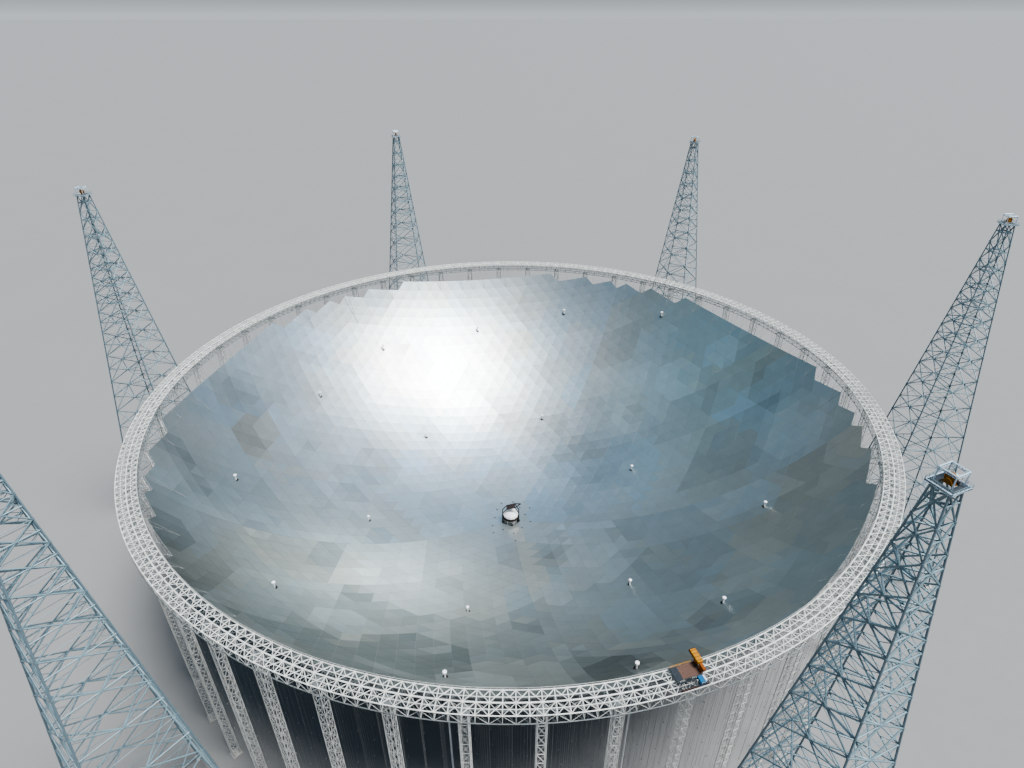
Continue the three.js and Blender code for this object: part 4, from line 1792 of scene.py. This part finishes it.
@dataclass
class Centre:
    """The feed cabin, the dock it rests on and the hoist frame over it."""

    sides: int = 12
    lath: float = 0.22 * METRE
    cabin_radius: float = 6.5 * METRE
    cabin_height: float = 6.4 * METRE
    wall_height: float = 3.6 * METRE
    roof_radius: float = 4 * METRE
    skirt_radius: float = 0.86 * cabin_radius
    skirt_height: float = 0.32 * wall_height
    ledge_radius: float = 0.97 * cabin_radius
    ledge_height: float = 0.36 * wall_height
    shoulder_radius: float = 0.96 * cabin_radius
    curb_radius: float = 1.1 * roof_radius
    curb_height: float = 0.93 * cabin_height
    cap_radius: float = 0.96 * roof_radius
    rib: float = lath / 3
    rib_height: float = 0.95 * cabin_height
    band: float = 0.5 * METRE
    band_circle: float = 1.01 * skirt_radius
    dock_top: float = 10.5 * METRE
    deck_depth: float = 0.6 * METRE
    deck_foot_radius: float = 0.94 * cabin_radius
    leg_circle: float = 5 * METRE
    leg_radius: float = 0.4 * METRE
    legs: int = 6
    span: float = 14 * METRE
    depth: float = 5 * METRE
    knee: float = 15.5 * METRE
    crown: float = 3.5 * METRE
    height: float = 20 * METRE
    rise: float = 2 * METRE
    arm: float = 5 * METRE
    bar: float = 0.5 * METRE
    laths: int = 9
    stay_shares: tuple[float, ...] = (0.35, 0.7, 1)
    board_share: float = 0.9

    def build(self, palette: Palette) -> None:
        """Model and dress the cabin, the dock and the hoist frame.

        Args:
            palette: The materials.
        """
        hand_over(self.cabin(palette), Slot.CABIN, "feed_cabin")
        hand_over(self.dock(palette), Slot.DARK, "cabin_dock")
        hand_over(painted(self.hoist(), palette.dark), Slot.DARK, "hoist_frame")

    def cabin(self, palette: Palette) -> Object:
        """Model the faceted cabin with its ribs and its dark band.

        Args:
            palette: The materials.

        Returns:
            The cabin.
        """
        floor = self.dock_top + REST_GAP
        wall = floor + self.wall_height
        curb = floor + self.curb_height
        outline = [
            (self.skirt_radius, floor),
            (self.skirt_radius, floor + self.skirt_height),
            (self.ledge_radius, floor + self.ledge_height),
            (self.cabin_radius, wall - self.lath),
            (self.shoulder_radius, wall),
            (self.curb_radius, curb),
            (self.roof_radius, curb),
            (self.cap_radius, floor + self.cabin_height),
        ]
        shell = painted(loft(outline, self.sides), palette.cabin)
        low = circle_of(self.sides, self.shoulder_radius, wall)
        high = circle_of(self.sides, self.roof_radius, floor + self.rib_height)
        ribs = [Bar(foot, head, self.rib) for foot, head in zip(low, high)]
        band = loop_of(circle_of(self.sides, self.band_circle, floor + self.band), self.band)
        ribbed = painted(lattice("ribs", ribs, sides=5), palette.cabin)
        return join("cabin_shell", [shell, ribbed, painted(lattice("band", band, sides=6), palette.dark)])

    def dock(self, palette: Palette) -> Object:
        """Model the dock's deck, the girder under its rim, its legs and their bracing.

        Args:
            palette: The materials.

        Returns:
            The dock.
        """
        underside = self.dock_top - self.deck_depth
        outline = [
            (self.deck_foot_radius, underside),
            (self.cabin_radius, underside + self.deck_depth / 3),
            (self.cabin_radius, self.dock_top),
        ]
        deck = painted(loft(outline, self.sides), palette.dark)
        rim = circle_of(self.sides, self.deck_foot_radius, underside - self.band)
        girder = painted(lattice("girder", loop_of(rim, self.band), sides=6), palette.dark)
        feet = circle_of(self.legs, self.leg_circle, 0)
        bars = [Bar(foot, foot + UP * underside, self.leg_radius) for foot in feet]
        half = UP * underside / 2
        bars += loop_of([foot + half for foot in feet], self.lath)
        for foot, after in sides_of(feet):
            bars.append(Bar(foot + half, after + UP * underside, self.lath))
            bars.append(Bar(after + half, foot + UP * underside, self.lath))
        frame = painted(lattice("frame", bars, sides=6), palette.white)
        return join("dock_stand", [deck, girder, frame])

    def hoist(self) -> Object:
        """Model the portals, the sloping roof over them and its arm.

        Returns:
            The hoist frame.
        """
        left = Vector((-self.crown, 0, self.height))
        right = Vector((self.crown, 0, self.height + self.rise))
        tip = Vector((self.crown + self.arm, 0, self.height + 2 * self.rise))
        across = Vector((0, self.depth / 2, 0))
        bars = []
        for out in (-across, across):
            for side, top in ((-1, left), (1, right)):
                foot = Vector((side * self.span / 2, out.y, 0))
                knee = foot + UP * self.knee
                bars += [Bar(foot, knee, self.bar), Bar(knee, top + out, self.bar)]
            bars += [Bar(left + out, right + out, self.bar), Bar(right + out, tip, self.bar)]
        places = [left.lerp(right, index / (self.laths - 1)) for index in range(self.laths)]
        for side in (-1, 1):
            places += [Vector((side * self.span / 2, 0, self.knee * share)) for share in self.stay_shares]
        bars += [Bar(place - across, place + across, self.lath) for place in places]
        size = ((right - left).length, self.depth * self.board_share, self.lath / 2)
        boards = block(size, (0, 0, 0), Edge.BOARD)
        slope = (right - left).to_track_quat("X", "Z").to_matrix().to_4x4()
        boards.data.transform(Matrix.Translation((left + right) / 2) @ slope)
        return join("hoist_roof", [lattice("hoist", bars, sides=6), boards])


@dataclass
class Pillars:
    """The survey pillars that stand through the bowl.

    Each place is a distance in real metres and an azimuth. The rise is measured from the
    bowl's face to the middle of the head.
    """

    places: tuple[tuple[float, float], ...] = (
        (120, 133), (122, 75), (116, 20), (129, -49), (121, -104), (118, -167),
        (207, -167), (202, -135), (211, -99), (218, -73), (198, -50), (194, -19),
        (234, 49), (222, 75), (207, 100), (207, 129), (196, 154),
    )
    foot_radius: float = 0.8 * METRE
    base_radius: float = 0.6 * METRE
    base_height: float = 0.5 * METRE
    neck_radius: float = 0.4 * METRE
    rise: float = 4.5 * METRE
    head_radius: float = 1.15 * METRE
    head_height: float = 1.2 * METRE
    # The head's outline, as shares of its radius and of its height.
    head_outline: Outline = ((0.7, 0), (1, 0.2), (1, 0.75), (0.5, 1))
    collar_radius: float = 1.7 * METRE
    collar_top_radius: float = 0.9 * collar_radius
    collar_lip: float = 0.2 * METRE

    def build(self, palette: Palette, bowl: Bowl) -> None:
        """Model a pillar at each place.

        Args:
            palette: The materials.
            bowl: The bowl that they stand through.
        """
        for number, (distance, azimuth) in enumerate(self.places, 1):
            foot = polar(distance * METRE, azimuth, 0)
            surface = bowl.middle.z - math.sqrt(bowl.radius**2 - foot.length**2)
            pillar = self.pillar(surface, palette)
            pillar.data.transform(Matrix.Translation(foot))
            pillar.name = f"pillar_{number}"
            hand_over(pillar, Slot.CABIN, f"survey_pillar_{number}")

    def pillar(self, surface: float, palette: Palette) -> Object:
        """Model one pillar, its collar in the bowl and its instrument head. The collar's dark paint is in
        part painted shade at the pillar's foot.

        Args:
            surface: The bowl's height at the pillar.
            palette: The materials.

        Returns:
            The pillar at the origin.
        """
        neck = surface + self.rise - self.head_height / 2
        base = [(self.foot_radius, 0), (self.base_radius, self.base_height)]
        shaft = smooth(loft([*base, (self.neck_radius, neck)], sides=10), TURNED_CREASE)
        head = [(x * self.head_radius, neck + y * self.head_height) for x, y in self.head_outline]
        low, high = surface - self.collar_lip, surface + self.collar_lip
        collar = [(self.collar_radius, low), (self.collar_top_radius, high)]
        parts = [
            painted(loft(head, sides=8), palette.cabin),
            painted(shaft, palette.cabin),
            # The collar's dark paint stands in part for the shade at the pillar's foot, where it passes
            # through the panels.
            painted(loft(collar, sides=10), palette.dark),
        ]
        return join("pillar", parts)


@dataclass
class Gantry:
    """The panel gantry that rides on the ring: deck, girder and cab.

    X points away from the bowl and Y along the ring.
    """

    azimuth: float = 287.4
    # From the axes of the ring's upper chords to the underside of the gantry's beams.
    rise: float = 0.4 * METRE + REST_GAP
    length: float = 13 * METRE
    width: float = 11 * METRE
    deck_depth: float = 0.5 * METRE
    boards: int = 22
    grated_boards: int = 6
    board_share: float = 0.55
    board_cover: float = 0.9
    board_depth: float = 0.4 * deck_depth
    beam_places: tuple[float, ...] = (-0.46, -0.15, 0.15, 0.46)
    beam_depth: float = 0.62 * deck_depth
    slats: int = 26
    rail_height: float = 1.2 * METRE
    rail_bar: float = 0.1 * METRE
    rail_bays: int = 6
    post_side: float = 1.6 * METRE
    girder_bottom: float = 3 * METRE
    girder_height: float = 1.8 * METRE
    girder_width: float = 2.6 * METRE
    girder_length: float = 13 * METRE
    girder_shift: float = 2 * METRE
    girder_turn: float = 4 * METRE
    ribs: int = 4
    rib_width: float = 0.25 * METRE
    rib_proud: float = 0.15 * METRE
    nose_size: Point = (0.6 * METRE, 1.1 * girder_width, 0.7 * girder_height)
    nose_reach: float = 0.2 * METRE
    arm_height: float = 0.6 * girder_height
    cab_length: float = 3 * METRE
    cab_height: float = 2.6 * METRE
    pane_size: Point = (1.02 * cab_length, 0.7 * cab_length, 0.35 * cab_height)
    pane_height: float = 0.62 * cab_height
    visor_size: Point = (0.9 * cab_length, 0.25 * cab_length, 0.2 * METRE)
    visor_place: float = 0.36 * cab_length
    mast_place: float = 0.75 * cab_length
    mast_radius: float = 0.2 * METRE

    def build(self, palette: Palette, ring: Ring) -> None:
        """Model and dress the gantry.

        Args:
            palette: The materials.
            ring: The ring that it rides on.
        """
        parts = self.deck(palette) + self.girder(palette) + self.cab(palette)
        gantry = join("ring_gantry_crane", parts)
        place = Matrix.Translation(polar(ring.radius, self.azimuth, ring.top + self.rise))
        gantry.data.transform(place @ turn_to(self.azimuth))
        hand_over(gantry, Slot.ORANGE, "ring_gantry")

    def deck(self, palette: Palette) -> list[Object]:
        """Model the boards, the grating, the beams under them and the railing.

        Args:
            palette: The materials.

        Returns:
            The parts.
        """
        start = -(self.girder_turn + self.length) / 2
        split = self.width * (self.board_share - 0.5)
        height = self.deck_depth - self.board_depth / 2
        pitch = self.length / self.boards
        size = (self.width * self.board_share, pitch * self.board_cover, self.board_depth)
        parts = []
        for index in range(self.boards):
            middle = (split - size[0] / 2, start + (index + 0.5) * pitch, height)
            paint = palette.grating if index < self.grated_boards else palette.planks
            parts.append(painted(block(size, middle, Edge.SHEET), paint))
        size = (self.deck_depth, self.length, self.beam_depth)
        for place in self.beam_places:
            middle = (place * self.width, start + self.length / 2, self.beam_depth / 2)
            paint = palette.orange if place == self.beam_places[-1] else palette.grating
            parts.append(painted(block(size, middle, Edge.SHEET), paint))
        slats = []
        for index in range(self.slats):
            y = start + (index + 0.5) * self.length / self.slats
            slats.append(Bar(Vector((split, y, height)), Vector((self.width / 2, y, height)), self.rail_bar))
        parts.append(painted(lattice("slats", slats, sides=4), palette.grating))
        return parts + self.rails(start, palette)

    def rails(self, start: float, palette: Palette) -> list[Object]:
        """Model the railing round the deck, yellow towards the bowl and dark elsewhere.

        Args:
            start: Where the deck starts along the ring.
            palette: The materials.

        Returns:
            The parts.
        """
        inner, outer = -self.width / 2, self.width / 2
        end = start + self.length
        corners = [(inner, end), (inner, start), (outer, start), (outer, end)]
        parts = []
        for number, ends in enumerate(sides_of([Vector((*corner, self.deck_depth)) for corner in corners])):
            bars = railing(ends, self.rail_height, self.rail_bar, self.rail_bays)
            paint = palette.yellow if number == 0 else palette.grating
            parts.append(painted(lattice("rails", bars, sides=4), paint))
        return parts

    def girder(self, palette: Palette) -> list[Object]:
        """Model the crane's body over the bowl, its arm, its posts and its ribs.

        Args:
            palette: The materials.

        Returns:
            The parts.
        """
        y = self.girder_turn
        parts = []
        size = (self.post_side, self.post_side, self.girder_bottom)
        for x in (-(self.width - self.post_side) / 2, -self.post_side / 2):
            middle = (x, y, (self.deck_depth + self.girder_bottom) / 2)
            parts.append(painted(block(size, middle, Edge.BLOCK), palette.orange))
        body = self.girder_length / 2
        tip = -self.girder_shift - body
        height = self.girder_bottom + self.girder_height / 2
        size = (body, self.girder_width, self.girder_height)
        parts.append(painted(block(size, (tip + body / 2, y, height), Edge.BODY), palette.yellow))
        proud = 2 * self.rib_proud
        size = (self.rib_width, self.girder_width + proud, self.girder_height + proud)
        for index in range(self.ribs):
            x = tip + body * (index + 0.5) / self.ribs
            parts.append(painted(block(size, (x, y, height), Edge.SHEET), palette.orange))
        nose = block(self.nose_size, (tip - self.nose_reach, y, height), Edge.CASING)
        parts.append(painted(nose, palette.dark))
        arm = body - self.cab_length
        size = (arm, self.girder_width / 2, self.arm_height)
        middle = (tip + body + arm / 2, y, self.girder_bottom + self.arm_height / 2)
        parts.append(painted(block(size, middle, Edge.CASING), palette.orange))
        return parts

    def cab(self, palette: Palette) -> list[Object]:
        """Model the cab, its windows, its visor and the mast beside it.

        Args:
            palette: The materials.

        Returns:
            The parts.
        """
        x = (self.width - self.cab_length) / 2
        y = self.girder_turn - self.girder_width
        size = (self.cab_length, self.cab_length, self.cab_height)
        walls = block(size, (x, y, self.deck_depth + self.cab_height / 2), Edge.BLOCK)
        parts = [painted(walls, palette.cab)]
        long, short, tall = self.pane_size
        for window in ((long, short, tall), (short, long, tall)):
            pane = block(window, (x, y, self.deck_depth + self.pane_height), Edge.PANE)
            parts.append(painted(pane, palette.glass))
        top = self.deck_depth + self.cab_height
        visor = block(self.visor_size, (x, y + self.visor_place, top), Edge.PLATE)
        parts.append(painted(visor, palette.white))
        foot = Vector((x, y - self.mast_place, self.deck_depth))
        mast = lattice("mast", [Bar(foot, foot + UP * self.cab_height, self.mast_radius)], sides=8)
        return [*parts, painted(mast, palette.white)]


@dataclass(frozen=True)
class Glow:
    """A soft light in the sky: where it stands, how strong it is and how fast it fades."""

    elevation: float
    azimuth: float
    strength: float
    power: float


@dataclass
class Studio:
    """The floor, the lights and the camera."""

    focal_pixels: float = 623.84
    sensor: float = 36
    camera_place: Point = (1.2425 * METRE, -405.59 * METRE, 383.49 * METRE)
    camera_tilt: float = 59.326
    camera_roll: float = -0.066
    # The middle of the sun's glare in the image, in pixels.
    glare_x: float = 440
    glare_y: float = 365
    floor_side: float = 6000
    sun_strength: float = 13.0
    sun_spread: float = 26.0
    halo: Glow = Glow(60, 14, 1.9, 5.2)
    fill: Glow = Glow(47, 160, 0.3, 6)
    fill_color: Color = (0.22, 0.78, 1.0)
    sky_strength: float = 0.26
    haze_strength: float = 0.5
    haze_power: float = 40.0
    horizon_color: Color = (0.84, 0.92, 0.97)
    zenith_color: Color = (0.13, 0.47, 1.0)

    def build(self, bowl: Bowl) -> None:
        """Make the floor, the lights and the camera.

        Args:
            bowl: The bowl that the sun is mirrored in.
        """
        self.make_camera()
        self.make_floor()
        self.make_sky()
        self.make_sun(self.glare_direction(bowl))

    def make_camera(self) -> None:
        """Set the camera up at the photograph's angle."""
        camera = bpy.data.objects.new("camera", bpy.data.cameras.new("camera"))
        camera.data.sensor_width = self.sensor
        camera.data.lens = self.focal_pixels / IMAGE_WIDTH * self.sensor
        camera.data.clip_end = 2 * self.floor_side
        camera.location = self.camera_place
        turn = Matrix.Rotation(math.radians(self.camera_tilt), 4, "X")
        roll = Matrix.Rotation(math.radians(self.camera_roll), 4, "Z")
        camera.rotation_euler = (turn @ roll).to_euler()
        bpy.context.scene.collection.objects.link(camera)
        bpy.context.scene.camera = camera

    def make_floor(self) -> None:
        """Lay the floor out to the horizon."""
        deselect_all()
        bpy.ops.mesh.primitive_plane_add(size=self.floor_side)
        floor = bpy.context.object
        floor.name = "studio_floor"
        painted(floor, StudioFloor().material())

    def make_sky(self) -> None:
        """Surround the scene with soft light: bluer overhead, a halo near the sun, a blue fill."""
        world = bpy.data.worlds.new("studio")
        world.use_nodes = True
        bpy.context.scene.world = world
        tree = Tree(world.node_tree)
        towards = tree.node("ShaderNodeTexCoord").outputs["Generated"]
        height = tree.math("MAXIMUM", tree.dot(towards, tuple(UP)), 0)
        low = tree.math("POWER", tree.math("SUBTRACT", 1, height), self.haze_power)
        haze = tree.math("ADD", tree.math("MULTIPLY", low, self.haze_strength), self.sky_strength)
        background = tree.nodes["Background"]
        tree.feed(background.inputs["Color"], tree.blend(height, self.horizon_color, self.zenith_color))
        strength = tree.math("ADD", self.shine(tree, towards, self.halo), haze)
        tree.feed(background.inputs["Strength"], strength)
        blue = {"Color": (*self.fill_color, 1), "Strength": self.shine(tree, towards, self.fill)}
        fill = tree.node("ShaderNodeBackground", blue)
        both = tree.node("ShaderNodeAddShader", {0: background.outputs[0], 1: fill.outputs[0]})
        tree.feed(tree.nodes["World Output"].inputs["Surface"], both.outputs[0])

    def shine(self, tree: Tree, towards: NodeSocket, glow: Glow) -> NodeSocket:
        """Return how brightly a glow shines from a direction of the sky.

        Args:
            tree: The sky's nodes.
            towards: The direction.
            glow: The glow.

        Returns:
            Its strength there.
        """
        rise = math.radians(glow.elevation)
        brightest = polar(math.cos(rise), glow.azimuth, math.sin(rise))
        near = tree.math("MAXIMUM", tree.dot(towards, tuple(brightest)), 0)
        return tree.math("MULTIPLY", tree.math("POWER", near, glow.power), glow.strength)

    def glare_direction(self, bowl: Bowl) -> Vector:
        """Work out where the sun stands from the place of its glare in the bowl.

        Args:
            bowl: The bowl that mirrors it.

        Returns:
            The direction towards the sun.
        """
        across = (self.glare_x - IMAGE_WIDTH / 2) / self.focal_pixels
        down = (self.glare_y - IMAGE_HEIGHT / 2) / self.focal_pixels
        turn = Matrix.Rotation(math.radians(self.camera_tilt), 3, "X")
        sight = (turn @ Vector((across, -down, -1))).normalized()
        start = Vector(self.camera_place) - bowl.middle
        half = start.dot(sight)
        reach = -half + math.sqrt(half**2 - start.length_squared + bowl.radius**2)
        normal = -(start + sight * reach).normalized()
        return sight.reflect(normal)

    def make_sun(self, towards: Vector) -> None:
        """Light the scene from one side.

        Args:
            towards: The direction towards the sun.
        """
        sun = bpy.data.objects.new("sun", bpy.data.lights.new("sun", "SUN"))
        sun.data.energy = self.sun_strength
        sun.data.angle = math.radians(self.sun_spread)
        sun.rotation_euler = towards.to_track_quat("Z", "Y").to_euler()
        bpy.context.scene.collection.objects.link(sun)


def main() -> None:
    """Build every sub-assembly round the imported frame, in order."""
    logging.basicConfig(level=logging.INFO, format="%(name)s %(message)s")
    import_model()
    bowl = Bowl()
    Studio().build(bowl)
    palette = Palette()
    bowl.build(palette)
    ring = Ring()
    ring.build(palette, bowl.rim_nodes())
    Tower().build(palette)
    Centre().build(palette)
    Pillars().build(palette, bowl)
    Gantry().build(palette, ring)
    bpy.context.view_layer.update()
    bpy.data.orphans_purge(do_recursive=True)


if __name__ == "__main__":
    main()
